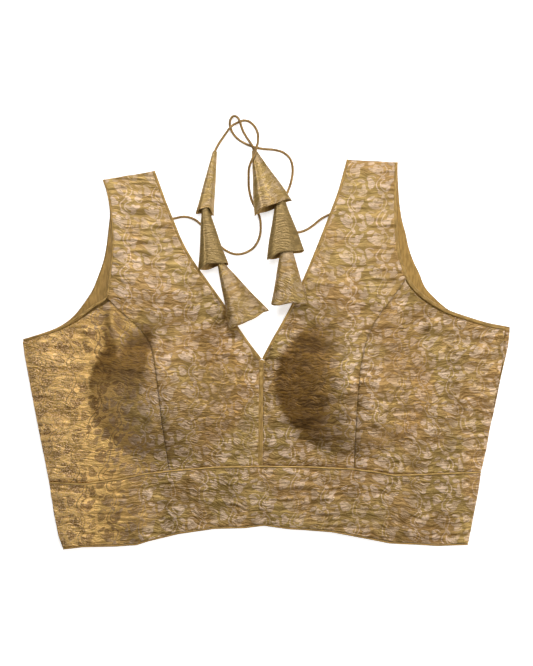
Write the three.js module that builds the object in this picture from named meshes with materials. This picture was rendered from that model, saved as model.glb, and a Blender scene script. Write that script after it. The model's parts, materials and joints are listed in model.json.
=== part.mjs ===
// A sleeveless choli blouse laid flat on its back, front side up, with its two tie cords
// knotted above the neck and a three-tier cloth tassel on the end of each cord.
// Millimetres. X runs across the blouse, Y from the hem to the shoulders, Z up from the surface.
import * as THREE from "three";
import { mergeVertices } from "three/addons/utils/BufferGeometryUtils.js";

// ---------------------------------------------------------------- driving sizes
const GAP = 0.3; // left between two sewn pieces
const WAIST_EASE = 0.5; // left beside the piping, whose line is cut in longer steps
const CLOTH = 1.4; // front and band wall: brocade with its backing
const BACK_CLOTH = 1.2; // back wall
const LINING = 1.0; // plain cloth inside the back
const BINDING = 3.2; // width of the neck binding
const ARM_BINDING = { left: 2.2, right: 3.6 }; // width that shows at each armhole
const BINDING_WALL = 1.9;
const SIDE_CELLS = 9; // cells across a side panel
const PIPING = 1.8; // width of the waist and hem piping
const PIPING_WALL = 2.2;
const CORD = 2.5; // diameter of the tie cords
const CORD_SIDES = 8;
const STRIP = 5; // width of the strip down the centre front
const CONE_WALL = 1.0;
const CONE_SIDES = 14;
const CONE_THROAT = CORD / 2 + 2 * GAP + CONE_WALL; // outer radius of a cone round its cord

const LINING_FLOOR = BACK_CLOTH + GAP; // underside of the lining
const SIDE_LIFT = LINING_FLOOR + LINING + GAP + BINDING_WALL / 2; // middle of the front at a side seam
const SWELL_REACH = 12; // how quickly the front rises away from a side seam

// Colours of the three cloths: woven brocade, plain satin, and the satin-covered cord.
const BROCADE = { color: 0xa8905c, roughness: 0.5, metalness: 0.25 };
const SATIN = { color: 0xa5843c, roughness: 0.55, metalness: 0.1 };
const CORD_SATIN = { color: 0x96763a, roughness: 0.6, metalness: 0.1 };

// ---------------------------------------------------------------- outlines
// Each table's rows run from the shoulders down, or from left to right.
const sideSeam = {
  left: [
    { y: 14, x: -240.5 },
    { y: 0, x: -238.5 },
    { y: -30, x: -233 },
    { y: -51, x: -229 },
    { y: -84, x: -222.5 },
    { y: -121, x: -215 },
    { y: -157, x: -209.5 },
    { y: -179, x: -205 },
    { y: -192, x: -200.5 },
  ],
  right: [
    { y: 28, x: 235.5 },
    { y: 12, x: 234.5 },
    { y: -6, x: 233 },
    { y: -25, x: 229.5 },
    { y: -47, x: 225 },
    { y: -77, x: 220 },
    { y: -94, x: 217 },
    { y: -115, x: 212 },
    { y: -137, x: 209 },
    { y: -160, x: 204.5 },
    { y: -188, x: 199 },
  ],
};

// The edge of the back where it shows past the front, along the opening in the right side.
const openSide = [
  { y: 26, x: 241 },
  { y: 8, x: 239 },
  { y: -5, x: 236 },
  { y: -20, x: 232.5 },
  { y: -47, x: 227 },
  { y: -70, x: 222 },
];

const waistLine = [
  { x: -216, y: -125.5 },
  { x: -180, y: -126.5 },
  { x: -147, y: -122 },
  { x: -120, y: -116.5 },
  { x: -85, y: -112.5 },
  { x: -52, y: -110 },
  { x: -7, y: -109 },
  { x: 38, y: -109.5 },
  { x: 84, y: -111.5 },
  { x: 104, y: -114 },
  { x: 125, y: -117.5 },
  { x: 145, y: -117.5 },
  { x: 178, y: -116 },
  { x: 213, y: -115 },
];

const hemLine = [
  { x: -201, y: -192.5 },
  { x: -181, y: -190 },
  { x: -147, y: -189 },
  { x: -128, y: -187.5 },
  { x: -115, y: -183.5 },
  { x: -85, y: -176.5 },
  { x: -52, y: -171.5 },
  { x: -21, y: -171 },
  { x: -2, y: -168.5 },
  { x: 24, y: -172 },
  { x: 64, y: -175 },
  { x: 97, y: -181 },
  { x: 121, y: -186 },
  { x: 168, y: -188.5 },
  { x: 199, y: -188 },
];

// Front centre panels: the neck edge and centre front on one side, and on the other the
// armhole, then the princess seam. The row marked "point" is the foot of the V neck.
const centrePanel = {
  left: [
    { neckX: -110, neckY: 182, armX: -161.5, armY: 172.5 },
    { neckX: -105.5, neckY: 170, armX: -158, armY: 162 },
    { neckX: -99, neckY: 152, armX: -155, armY: 148 },
    { neckX: -91.5, neckY: 133.5, armX: -153, armY: 129 },
    { neckX: -83, neckY: 113, armX: -152.3, armY: 110 },
    { neckX: -72.5, neckY: 94, armX: -153.5, armY: 92 },
    { neckX: -55.5, neckY: 70, armX: -156, armY: 73 },
    { neckX: -40, neckY: 48, armX: -159, armY: 57, seam: "start" },
    { neckX: -27, neckY: 27, armX: -141, armY: 40 },
    { neckX: -15, neckY: 10, armX: -123, armY: 24 },
    { neckX: -4.3, neckY: -4, armX: -112, armY: 8, seam: "point" },
    { neckX: -4.5, neckY: -25, armX: -107.5, armY: -11 },
    { neckX: -5, neckY: -50, armX: -103.5, armY: -40 },
    { neckX: -5.2, neckY: -80, armX: -100, armY: -76 },
    { neckX: -5.5, neckY: -108.9, armX: -96, armY: -113.6 },
  ],
  right: [
    { neckX: 79.5, neckY: 193, armX: 130, armY: 190 },
    { neckX: 76, neckY: 180, armX: 129.5, armY: 174 },
    { neckX: 70.5, neckY: 160.5, armX: 129, armY: 155 },
    { neckX: 62.5, neckY: 139.5, armX: 129.2, armY: 138 },
    { neckX: 53.5, neckY: 116, armX: 129.8, armY: 121 },
    { neckX: 45, neckY: 95, armX: 131.5, armY: 105 },
    { neckX: 36, neckY: 74, armX: 135, armY: 91 },
    { neckX: 25, neckY: 50, armX: 140, armY: 78, seam: "start" },
    { neckX: 16, neckY: 33, armX: 126, armY: 58 },
    { neckX: 7.3, neckY: 18, armX: 113, armY: 41.5 },
    { neckX: 0.6, neckY: 5.5, armX: 103, armY: 26 },
    { neckX: -4.3, neckY: -4, armX: 96, armY: 10, seam: "point" },
    { neckX: -4.5, neckY: -25, armX: 91, armY: -11 },
    { neckX: -5, neckY: -50, armX: 88.8, armY: -32 },
    { neckX: -5.2, neckY: -80, armX: 87, armY: -65 },
    { neckX: -5.5, neckY: -108.9, armX: 86.6, armY: -111.6 },
  ],
};

// The lower armhole, from the top of the princess seam out to the side seam.
const lowerArmhole = {
  left: [
    { x: -159, y: 57 },
    { x: -170, y: 49.5 },
    { x: -183, y: 40 },
    { x: -197, y: 31 },
    { x: -213, y: 24 },
    { x: -228, y: 19 },
    { x: -240, y: 15.5 },
  ],
  right: [
    { x: 140, y: 78 },
    { x: 146.5, y: 68 },
    { x: 154, y: 60.5 },
    { x: 162.5, y: 54 },
    { x: 173, y: 47.5 },
    { x: 183, y: 43 },
    { x: 199, y: 37.5 },
    { x: 219, y: 31.5 },
    { x: 235.5, y: 28.5 },
  ],
};


// The edges of the back, from each shoulder down its armhole to the side seam.
const backArmhole = {
  left: [
    { x: -161.5, y: 172 },
    { x: -158, y: 162 },
    { x: -155.5, y: 148 },
    { x: -154.8, y: 138.5 },
    { x: -156.5, y: 121.5 },
    { x: -158.5, y: 105 },
    { x: -161.5, y: 91.5 },
    { x: -167, y: 76 },
    { x: -172, y: 64 },
    { x: -179, y: 53 },
    { x: -189, y: 40 },
    { x: -199, y: 31.5 },
    { x: -213, y: 24 },
    { x: -240.5, y: 14.5 },
  ],
  right: [
    { x: 129.5, y: 189.5 },
    { x: 130, y: 181 },
    { x: 131, y: 162 },
    { x: 132, y: 149 },
    { x: 134.5, y: 133 },
    { x: 138, y: 120 },
    { x: 141, y: 106 },
    { x: 146, y: 92 },
    { x: 151.5, y: 80.5 },
    { x: 157.5, y: 66.5 },
    { x: 168.5, y: 54.5 },
    { x: 181.5, y: 44 },
    { x: 198.5, y: 37.5 },
    { x: 219, y: 31.5 },
    { x: 241, y: 27.5 },
  ],
};

// The deep neck of the back, hidden under the front, from shoulder to shoulder.
const backNeck = [
  { x: -111, y: 181 },
  { x: -105, y: 160 },
  { x: -101, y: 142 },
  { x: -98, y: 122 },
  { x: -95, y: 100 },
  { x: -92, y: 78 },
  { x: -88, y: 50 },
  { x: -82, y: 22 },
  { x: -72, y: -4 },
  { x: -56, y: -26 },
  { x: -34, y: -41 },
  { x: -5, y: -47 },
  { x: 24, y: -41 },
  { x: 44, y: -26 },
  { x: 58, y: -4 },
  { x: 66, y: 22 },
  { x: 69.5, y: 50 },
  { x: 70.5, y: 78 },
  { x: 71, y: 110 },
  { x: 72, y: 140 },
  { x: 76, y: 166 },
  { x: 81, y: 192 },
];

// ---------------------------------------------------------------- heights
// The two moulded cups that hold the front up.
const cups = {
  left: { x: -98, y: -35, inner: 80, outer: 77, above: 70, below: 70, height: 37 },
  right: { x: 89, y: -27, inner: 80, outer: 78, above: 73, below: 75, height: 37 },
};
const CUP_ROUND = 1.25; // 1 is a paraboloid with a hard rim, 2 a bell with a soft one

// How far the front lifts off the layers beneath it away from the side seams, and how far
// its edge drops at the side, from the lining's top down to the band's.
const lift = [
  { y: 196, rise: 0.2, drop: 0 },
  { y: 165, rise: 0.5, drop: 0 },
  { y: 120, rise: 1.5, drop: 0 },
  { y: 60, rise: 2.2, drop: 0 },
  { y: 20, rise: 4, drop: 0 },
  { y: -60, rise: 6, drop: 0 },
  { y: -127, rise: 5.2, drop: 0 },
  { y: -150, rise: 5, drop: 0.8 },
  { y: -195, rise: 3.5, drop: 0.9 },
];

// Soft folds: ridges where rise is above 0 and troughs where it is below.
const folds = [
  { x: -122, y: -178, wide: 13, tall: 34, turn: 0.25, rise: 3.2 },
  { x: -60, y: -185, wide: 26, tall: 40, turn: 0.1, rise: 2.2 },
  { x: 12, y: -182, wide: 18, tall: 36, turn: -0.1, rise: 2.6 },
  { x: 100, y: -180, wide: 16, tall: 38, turn: -0.3, rise: 2.8 },
  { x: -4, y: -58, wide: 12, tall: 48, turn: 0, rise: -1.8 },
  { x: -150, y: 26, wide: 7, tall: 26, turn: 0.1, rise: 3.4 },
  { x: 166, y: 14, wide: 7, tall: 30, turn: -0.05, rise: 3.2 },
];

// ---------------------------------------------------------------- tie cords and tassels
// The middle of each cord, from the back neck to the top of its tassel. Each is tied once
// to the other above the neck.
const cords = {
  left: [
    { x: -99.3, y: 133.6, z: 1.25 },
    { x: -92.5, y: 134.5, z: 1.25 },
    { x: -81.5, y: 136.5, z: 1.25 },
    { x: -73.5, y: 135, z: 1.25 },
    { x: -67, y: 131, z: 1.25 },
    { x: -47.5, y: 109.5, z: 1.25 },
    { x: -40.5, y: 103.5, z: 1.25 },
    { x: -31, y: 99.5, z: 1.25 },
    { x: -21.5, y: 100.5, z: 1.25 },
    { x: -12, y: 106.5, z: 1.25 },
    { x: -6.5, y: 117, z: 1.25 },
    { x: -5.5, y: 128, z: 1.25 },
    { x: -7, y: 137.5, z: 1.25 },
    { x: -14, y: 152, z: 1.25 },
    { x: -17, y: 164, z: 1.25 },
    { x: -17.4, y: 176, z: 1.5 },
    { x: -17.1, y: 183.5, z: 4.8 },
    { x: -14.9, y: 190, z: 8.8 },
    { x: -12, y: 196, z: 10 },
    { x: -10.6, y: 201, z: 9 },
    { x: -9.4, y: 205.2, z: 6 },
    { x: -8.2, y: 210.5, z: 2.6 },
    { x: -8.5, y: 219.5, z: 1.25 },
    { x: -12, y: 226.5, z: 1.25 },
    { x: -17.5, y: 231, z: 1.25 },
    { x: -22.5, y: 231.6, z: 1.5 },
    { x: -27, y: 230, z: 2.3 },
    { x: -32, y: 227.4, z: 3.8 },
    { x: -35.5, y: 224.3, z: 4.5 },
    { x: -39, y: 220, z: 3.6 },
    { x: -42.5, y: 215.2, z: 1.9 },
    { x: -47.5, y: 207.6, z: 1.5 },
  ],
  right: [
    { x: 71.6, y: 142.6, z: 1.25 },
    { x: 62, y: 138.5, z: 1.25 },
    { x: 54.5, y: 134.5, z: 1.25 },
    { x: 46.5, y: 128, z: 1.25 },
    { x: 38.5, y: 123, z: 1.25 },
    { x: 30.5, y: 121, z: 1.25 },
    { x: 23, y: 123.5, z: 1.25 },
    { x: 17.5, y: 131, z: 1.25 },
    { x: 16, y: 141, z: 1.25 },
    { x: 18, y: 152, z: 1.25 },
    { x: 21.2, y: 161, z: 1.25 },
    { x: 24.6, y: 171, z: 1.25 },
    { x: 26.2, y: 184.5, z: 1.25 },
    { x: 23.5, y: 194, z: 1.25 },
    { x: 17, y: 200, z: 1.25 },
    { x: 8.5, y: 202.6, z: 1.25 },
    { x: -2.6, y: 203.6, z: 1.25 },
    { x: -10.4, y: 205, z: 1.25 },
    { x: -20, y: 208.6, z: 1.25 },
    { x: -28.6, y: 214, z: 1.25 },
    { x: -34, y: 221, z: 1.25 },
    { x: -36, y: 228, z: 1.25 },
    { x: -35, y: 233.6, z: 1.7 },
    { x: -31.6, y: 236, z: 3.2 },
    { x: -28, y: 234, z: 4.8 },
    { x: -25.8, y: 229.6, z: 5.3 },
    { x: -24.4, y: 225, z: 3.4 },
    { x: -22.5, y: 220.5, z: 1.6 },
    { x: -19, y: 214.5, z: 1.6 },
    { x: -15.4, y: 209, z: 3.6 },
    { x: -13.4, y: 205.4, z: 4.7 },
  ],
};

// The cones of each tassel, threaded on the cord one inside the mouth of the next above.
// Row by row: the top, the middle of the mouth, half the mouth's width and height, how far
// its left end lifts, and how far the mouth's right end runs on past its left.
const tassels = {
  left: [
    { x: -50.7, y: 200.7, z: 3.1, mouthX: -60.6, mouthY: 138.3, mouthZ: 6.6, wide: 9.2, tall: 5, roll: 0, skew: 0 },
    { x: -61.2, y: 150, z: 5.9, mouthX: -52, mouthY: 86, mouthZ: 9.4, wide: 15.2, tall: 6, roll: 0, skew: -1 },
    { x: -46.5, y: 92.5, z: 9.4, mouthX: -17, mouthY: 34.5, mouthZ: 12.8, wide: 22, tall: 6.5, roll: 10, skew: 0 },
  ],
  right: [
    { x: -12.1, y: 201.6, z: 4, mouthX: 6.8, mouthY: 144.8, mouthZ: 9.6, wide: 20.5, tall: 7, roll: 0, skew: -1.5 },
    { x: 12.7, y: 161.4, z: 7.8, mouthX: 19, mouthY: 97.7, mouthZ: 10.4, wide: 19.3, tall: 6, roll: 0, skew: -2.5 },
    { x: 19.1, y: 118.5, z: 9.9, mouthX: 22.7, mouthY: 50.2, mouthZ: 14, wide: 18.2, tall: 6, roll: -7, skew: 0 },
  ],
};
const CORD_TAIL = 12; // how far each cord runs on inside the top of its last cone

// ---------------------------------------------------------------- working
const lerp = THREE.MathUtils.lerp;

// The value of one column of a table where another column has the value at.
function look(table, key, column, at) {
  const rising = table[table.length - 1][key] > table[0][key];
  const rows = rising ? table : [...table].reverse();
  if (at <= rows[0][key]) return rows[0][column];
  for (let i = 1; i < rows.length; i++) {
    const [a, b] = [rows[i - 1], rows[i]];
    if (at <= b[key]) return lerp(a[column], b[column], (at - a[key]) / (b[key] - a[key]));
  }
  return rows[rows.length - 1][column];
}

function cupRise(cup, x, y) {
  const towardsCentre = (x - cup.x) * -Math.sign(cup.x) > 0;
  const across = (x - cup.x) / (towardsCentre ? cup.inner : cup.outer);
  const along = (y - cup.y) / (y > cup.y ? cup.above : cup.below);
  const inside = 1 - across * across - along * along;
  return inside > 0 ? cup.height * inside ** CUP_ROUND : 0;
}

function foldRise(fold, x, y) {
  const [c, s] = [Math.cos(fold.turn), Math.sin(fold.turn)];
  const across = ((x - fold.x) * c + (y - fold.y) * s) / fold.wide;
  const along = ((y - fold.y) * c - (x - fold.x) * s) / fold.tall;
  return fold.rise * Math.exp(-across * across - along * along);
}

// Height of the middle of the front wall.
function frontHeight(x, y) {
  const inLeft = x - look(sideSeam.left, "y", "x", y);
  const inRight = look(sideSeam.right, "y", "x", y) - x;
  const free = 1 - Math.exp(-Math.max(0, Math.min(inLeft, inRight)) / SWELL_REACH);
  const creased = folds.reduce((sum, fold) => sum + foldRise(fold, x, y), 0);
  const rise = Math.max(0, look(lift, "y", "rise", y) + creased);
  const raised = cupRise(cups.left, x, y) + cupRise(cups.right, x, y);
  return SIDE_LIFT - look(lift, "y", "drop", y) + free * (rise + raised);
}

function frontNormal(x, y) {
  const step = 0.5;
  const dx = frontHeight(x + step, y) - frontHeight(x - step, y);
  const dy = frontHeight(x, y + step) - frontHeight(x, y - step);
  return new THREE.Vector3(-dx, -dy, 2 * step).normalize();
}

// A point of the front wall: on its middle where w is 0, on its faces at -0.5 and 0.5.
function onFront(p, w, wall) {
  return frontNormal(p.x, p.y).multiplyScalar(w * wall).add(new THREE.Vector3(p.x, p.y, frontHeight(p.x, p.y)));
}

// A slab whose long faces are divided into cells, bent by place(u, v, w): u from left to
// right, v from the top down, and w through the wall from -0.5 to 0.5.
function bentWall(columns, rows, place) {
  const box = new THREE.BoxGeometry(1, 1, 1, columns, rows, 1);
  const at = box.attributes.position;
  for (let i = 0; i < at.count; i++) {
    const p = place(at.getX(i) + 0.5, 0.5 - at.getY(i), at.getZ(i));
    at.setXYZ(i, p.x, p.y, p.z);
  }
  return closed(box);
}

// One closed body: shared corners joined, and faces that have shrunk to a line left out.
function closed(geometry) {
  geometry.deleteAttribute("normal");
  geometry.deleteAttribute("uv");
  const joined = mergeVertices(geometry, 1e-4);
  const index = Array.from(joined.index.array);
  const kept = [];
  for (let i = 0; i < index.length; i += 3) {
    const [a, b, c] = index.slice(i, i + 3);
    if (a !== b && b !== c && c !== a) kept.push(a, b, c);
  }
  joined.setIndex(kept);
  joined.computeVertexNormals();
  return joined;
}

// A smooth plan line through rows, with a sharp corner at each row number in corners. It
// gives the place and direction at a row number, where a fraction lies between two rows.
function planLine(points, corners = []) {
  const ends = [0, ...corners, points.length - 1];
  const parts = ends.slice(1).map((end, i) => {
    const part = points.slice(ends[i], end + 1).map((p) => new THREE.Vector3(p.x, p.y, 0));
    return { from: ends[i], to: end, curve: new THREE.CatmullRomCurve3(part, false, "centripetal") };
  });
  const partAt = (row) => parts.find((part) => row < part.to + 0.01) ?? parts[parts.length - 1];
  const share = (part, row) => Math.min(1, Math.max(0, (row - part.from) / (part.to - part.from)));
  return {
    last: points.length - 1,
    at: (row) => partAt(row).curve.getPoint(share(partAt(row), row)),
    along: (row) => partAt(row).curve.getTangent(share(partAt(row), row)),
  };
}

// A place moved off a line to the left of its direction, seen from above.
function aside(line, row, distance) {
  const [p, t] = [line.at(row), line.along(row)];
  return new THREE.Vector3(p.x - t.y * distance, p.y + t.x * distance, 0);
}

function waistAt(x, distance) {
  return new THREE.Vector3(x, look(waistLine, "x", "y", x) + distance, 0);
}

// A place inside four edges, each given from 0 to 1: top and foot from left to right, left
// and right from the top down. The left and right edges are kept exactly.
function within(edges, u, v) {
  const sides = edges.left(v).lerp(edges.right(v), u);
  const ends = edges.top(u).lerp(edges.foot(u), v);
  const corners = edges.top(0).lerp(edges.foot(0), v).lerp(edges.top(1).lerp(edges.foot(1), v), u);
  return sides.add(ends).sub(corners);
}

// Row numbers from one to another in equal steps.
function spaced(from, to, steps) {
  return Array.from({ length: steps + 1 }, (_, i) => lerp(from, to, i / steps));
}

// A strip of cloth on a line through the given rows, from the line to a distance beside it.
function alongLine(line, rows, width, wall) {
  return bentWall(1, rows.length - 1, (u, v, w) => {
    const row = rows[Math.round(v * (rows.length - 1))];
    return onFront(aside(line, row, width * (width < 0 ? u : 1 - u)), w, wall);
  });
}

function piece(name, geometry, finish) {
  const made = new THREE.Mesh(geometry, new THREE.MeshStandardMaterial(finish));
  made.name = name;
  return made;
}

// ---------------------------------------------------------------- front
const SIDES = ["left", "right"];
const inwards = { left: 1, right: -1 }; // the sign of X from an armhole towards the centre

const lines = {};
for (const side of SIDES) {
  const table = centrePanel[side];
  const start = table.findIndex((row) => row.seam === "start");
  const point = table.findIndex((row) => row.seam === "point");
  lines[side] = {
    start,
    point,
    neck: planLine(table.map((row) => ({ x: row.neckX, y: row.neckY })), [point]),
    outer: planLine(table.map((row) => ({ x: row.armX, y: row.armY })), [start]),
    armhole: planLine([
      ...table.slice(0, start).map((row) => ({ x: row.armX, y: row.armY })),
      ...lowerArmhole[side],
    ]),
  };
}

// The centre panel lies between its two edges, inside the neck and armhole bindings.
function frontCentre(side) {
  const { start, point, neck, outer, armhole } = lines[side];
  const sign = inwards[side];
  const neckEdge = (v) => {
    const row = v * neck.last;
    return aside(neck, row, -sign * (row < point + 0.01 ? BINDING + GAP : STRIP / 2 + GAP));
  };
  const outerEdge = (v) => {
    const row = v * outer.last;
    if (row > start + 0.01) return aside(outer, row, (sign * GAP) / 2);
    return aside(armhole, row, sign * (ARM_BINDING[side] + GAP));
  };
  const [left, right] = sign > 0 ? [outerEdge, neckEdge] : [neckEdge, outerEdge];
  const foot = (u) => waistAt(lerp(left(1).x, right(1).x, u), WAIST_EASE);
  const edges = { left, right, foot, top: (u) => left(0).lerp(right(0), u) };
  const place = (u, v, w) => onFront(within(edges, u, v), w, CLOTH);
  return piece(`front_centre_${side}`, bentWall(9, 2 * neck.last, place), BROCADE);
}

// The side panel: armhole above, waist below, princess seam inside and side seam outside.
function frontSide(side) {
  const { start, outer, armhole } = lines[side];
  const sign = inwards[side];
  const inset = ARM_BINDING[side] + GAP;
  const seam = sideSeam[side];
  const topY = lowerArmhole[side].at(-1).y - inset;
  const seamEdge = (v) => {
    const row = Math.max(start + 0.22, lerp(start, outer.last, v));
    return aside(outer, row, (-sign * GAP) / 2);
  };
  const footX = look(seam, "y", "x", -120);
  const footY = waistAt(footX, WAIST_EASE).y;
  const sideEdge = (v) => {
    const y = lerp(topY, footY, v);
    return new THREE.Vector3(look(seam, "y", "x", y), y, 0);
  };
  const out = (u) => (sign > 0 ? 1 - u : u);
  const [left, right] = sign > 0 ? [sideEdge, seamEdge] : [seamEdge, sideEdge];
  const edges = {
    left,
    right,
    top: (u) => aside(armhole, lerp(start, armhole.last, out(u)), sign * inset),
    foot: (u) => waistAt(lerp(left(1).x, right(1).x, u), WAIST_EASE),
  };
  const place = (u, v, w) => onFront(within(edges, u, v), w, CLOTH);
  return piece(`front_side_${side}`, bentWall(SIDE_CELLS, 2 * (outer.last - start), place), BROCADE);
}

// The plain strip down the centre front, pointed at its top under the two neck bindings.
function centreStrip() {
  const { point, neck } = lines.left;
  return bentWall(2, 10, (u, v, w) => {
    const row = lerp(point + 0.02, neck.last, v);
    const p = aside(neck, row, lerp(-STRIP / 2, STRIP / 2, u));
    if (v === 0) p.y -= 0.8 + 1.9 * Math.abs(2 * u - 1);
    return onFront(v === 1 ? waistAt(p.x, WAIST_EASE) : p, w, CLOTH);
  });
}

// The band below the waist seam, between its two lines of piping.
function frontBand() {
  const waistEdge = (x) => look(waistLine, "x", "y", x) - PIPING - WAIST_EASE;
  const hemEdge = (x) => look(hemLine, "x", "y", x) + PIPING + WAIST_EASE;
  const sideX = (side, y) => look(sideSeam[side], "y", "x", y);
  const edge = (side) => (v) => {
    const [top, foot] = [waistEdge(sideX(side, -120)), hemEdge(sideX(side, -186))];
    const y = lerp(top, foot, v);
    return new THREE.Vector3(sideX(side, y), y, 0);
  };
  const [left, right] = [edge("left"), edge("right")];
  const across = (v, height) => (u) => {
    const x = lerp(left(v).x, right(v).x, u);
    return new THREE.Vector3(x, height(x), 0);
  };
  const edges = { left, right, top: across(0, waistEdge), foot: across(1, hemEdge) };
  return bentWall(24, 6, (u, v, w) => onFront(within(edges, u, v), w, CLOTH));
}

// Piping along the waist or hem, from one height above its line to another.
function piping(line, [low, high]) {
  const side = (name, y) => look(sideSeam[name], "y", "x", y);
  const ends = ["left", "right"].map((name) => side(name, name === "left" ? line[0].y : line.at(-1).y));
  return bentWall(36, 1, (u, v, w) => {
    const x = lerp(ends[0], ends[1], u);
    const p = new THREE.Vector3(x, look(line, "x", "y", x) + lerp(high, low, v), 0);
    return onFront(p, w, PIPING_WALL);
  });
}

// ---------------------------------------------------------------- back
function flatPiece(outline, floor, wall) {
  const shape = new THREE.Shape(outline.map((p) => new THREE.Vector2(p.x, p.y)));
  const solid = new THREE.ExtrudeGeometry(shape, { depth: wall, bevelEnabled: false });
  return closed(solid.translate(0, 0, floor));
}

// The side edge of the back from one height down to another.
function backSide(side, from, to, inset) {
  const edge = side === "left" ? sideSeam.left : [...openSide, ...sideSeam.right.filter((row) => row.y < -72)];
  const rows = edge.filter((row) => row.y < from - 4 && row.y > to + 4).map((row) => row.y);
  return [from, ...rows, to].map((y) => ({
    x: look(edge, "y", "x", y) + inwards[side] * inset,
    y,
  }));
}

// Everything above the waist: down the left side, along the waist and up the right side.
function backOutline(inset, rightInset) {
  const left = backArmhole.left.map((row) => ({ x: row.x + inset, y: row.y - (row.x < -180 ? inset : 0) }));
  const right = backArmhole.right.map((row) => ({ x: row.x - inset, y: row.y - (row.x > 180 ? inset : 0) }));
  const waist = waistLine.slice(1, -1).map((row) => ({ x: row.x, y: row.y + GAP / 2 + inset }));
  const leftSide = backSide("left", left.at(-1).y - 6, -125.3 + inset, inset);
  const rightSide = backSide("right", right.at(-1).y - 2, -114.8 + inset, rightInset);
  return [
    ...left,
    ...leftSide,
    ...waist,
    ...rightSide.reverse(),
    ...right.slice(0, -1).reverse(),
    ...[...backNeck].reverse().map((row) => ({ x: row.x, y: row.y - inset })),
  ];
}

function backBand() {
  const waist = waistLine.map((row) => ({ x: row.x, y: row.y - GAP / 2 }));
  const rightSide = backSide("right", -115.2, -184, 0);
  const leftSide = backSide("left", -125.7, -188, 0);
  const hem = hemLine.map((row) => ({ x: row.x, y: row.y }));
  return [...waist.slice(1, -1).reverse(), ...leftSide, ...hem, ...rightSide.reverse()];
}

// The lap along the opening in the right side, where the back shows past the front.
function sideLap() {
  const [top, foot] = [24, -62];
  return bentWall(1, 8, (u, v, w) => {
    const y = lerp(top, foot, v);
    const inner = look(sideSeam.right, "y", "x", y) + GAP;
    const outer = look(openSide, "y", "x", y);
    return new THREE.Vector3(lerp(inner, outer, u), y, LINING_FLOOR + (w + 0.5) * CLOTH);
  });
}

// ---------------------------------------------------------------- cords and tassels
// A cord lies on the surface, runs through its tassel's cones, and ends inside the last.
class CordLine extends THREE.Curve {
  constructor(points) {
    super();
    this.route = new THREE.CatmullRomCurve3(points, false, "centripetal");
  }

  getPoint(t) {
    const p = this.route.getPoint(t);
    return p.setZ(Math.max(p.z, CORD / 2));
  }
}

function cordPath(side) {
  const cones = tassels[side];
  const hidden = cones.flatMap((cone) => {
    const top = new THREE.Vector3(cone.x, cone.y, cone.z);
    const down = new THREE.Vector3(cone.mouthX, cone.mouthY, cone.mouthZ).sub(top);
    return [top, down.setLength(CORD_TAIL).add(top)];
  });
  const route = cords[side].map((p) => new THREE.Vector3(p.x, p.y, p.z));
  return new CordLine([...route, ...hidden]);
}

function cord(side, steps) {
  const section = new THREE.Shape();
  for (let i = 0; i < CORD_SIDES; i++) {
    const turn = ((i + 0.5) / CORD_SIDES) * 2 * Math.PI;
    const [x, y] = [(CORD / 2) * Math.cos(turn), (CORD / 2) * Math.sin(turn)];
    i ? section.lineTo(x, y) : section.moveTo(x, y);
  }
  section.closePath();
  return closed(new THREE.ExtrudeGeometry(section, { steps, extrudePath: cordPath(side), bevelEnabled: false }));
}

// A hollow cloth cone, narrow round its cord at the top, wide and flattened at its mouth.
function cone(spec) {
  const wall = CONE_WALL / 2;
  const shares = [0, 0.25, 0.5, 0.75, 1];
  const profile = [
    ...shares.map((share) => new THREE.Vector2(share, 1)),
    ...[...shares].reverse().map((share) => new THREE.Vector2(share, -1)),
    new THREE.Vector2(0, 1),
  ];
  // Spun with the profile's share along the cone as its radius, then put in place.
  const spun = new THREE.LatheGeometry(profile.map((p) => new THREE.Vector2(1 + p.x, p.y)), CONE_SIDES);
  const at = spun.attributes.position;
  const top = new THREE.Vector3(spec.x, spec.y, spec.z);
  const axis = new THREE.Vector3(spec.mouthX, spec.mouthY, spec.mouthZ).sub(top);
  const flat = new THREE.Vector3(-axis.y, axis.x, 0).normalize();
  const across = flat.applyAxisAngle(axis.clone().normalize(), THREE.MathUtils.degToRad(-spec.roll));
  const up = across.clone().cross(axis).normalize().multiplyScalar(-1);
  const middle = CONE_THROAT - wall;
  for (let i = 0; i < at.count; i++) {
    const share = Math.hypot(at.getX(i), at.getZ(i)) - 1;
    const turn = Math.atan2(at.getZ(i), at.getX(i));
    const face = at.getY(i) * wall;
    const wide = lerp(middle, spec.wide - wall, share) + face;
    const tall = lerp(middle, spec.tall - wall, share) + face;
    const run = share * (1 + (spec.skew * Math.cos(turn)) / axis.length());
    const p = top.clone().addScaledVector(axis, run);
    p.addScaledVector(across, wide * Math.cos(turn)).addScaledVector(up, tall * Math.sin(turn));
    at.setXYZ(i, p.x, p.y, p.z);
  }
  return outward(closed(spun));
}

// Turns a body's faces round if they face in.
function outward(geometry) {
  const [at, index] = [geometry.attributes.position, geometry.index];
  const corner = (i) => new THREE.Vector3().fromBufferAttribute(at, index.getX(i));
  let volume = 0;
  for (let i = 0; i < index.count; i += 3) volume += corner(i).dot(corner(i + 1).cross(corner(i + 2)));
  if (volume > 0) return geometry;
  const flipped = Array.from(index.array);
  for (let i = 0; i < flipped.length; i += 3) flipped.splice(i + 1, 2, flipped[i + 2], flipped[i + 1]);
  geometry.setIndex(flipped);
  geometry.computeVertexNormals();
  return geometry;
}

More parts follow.
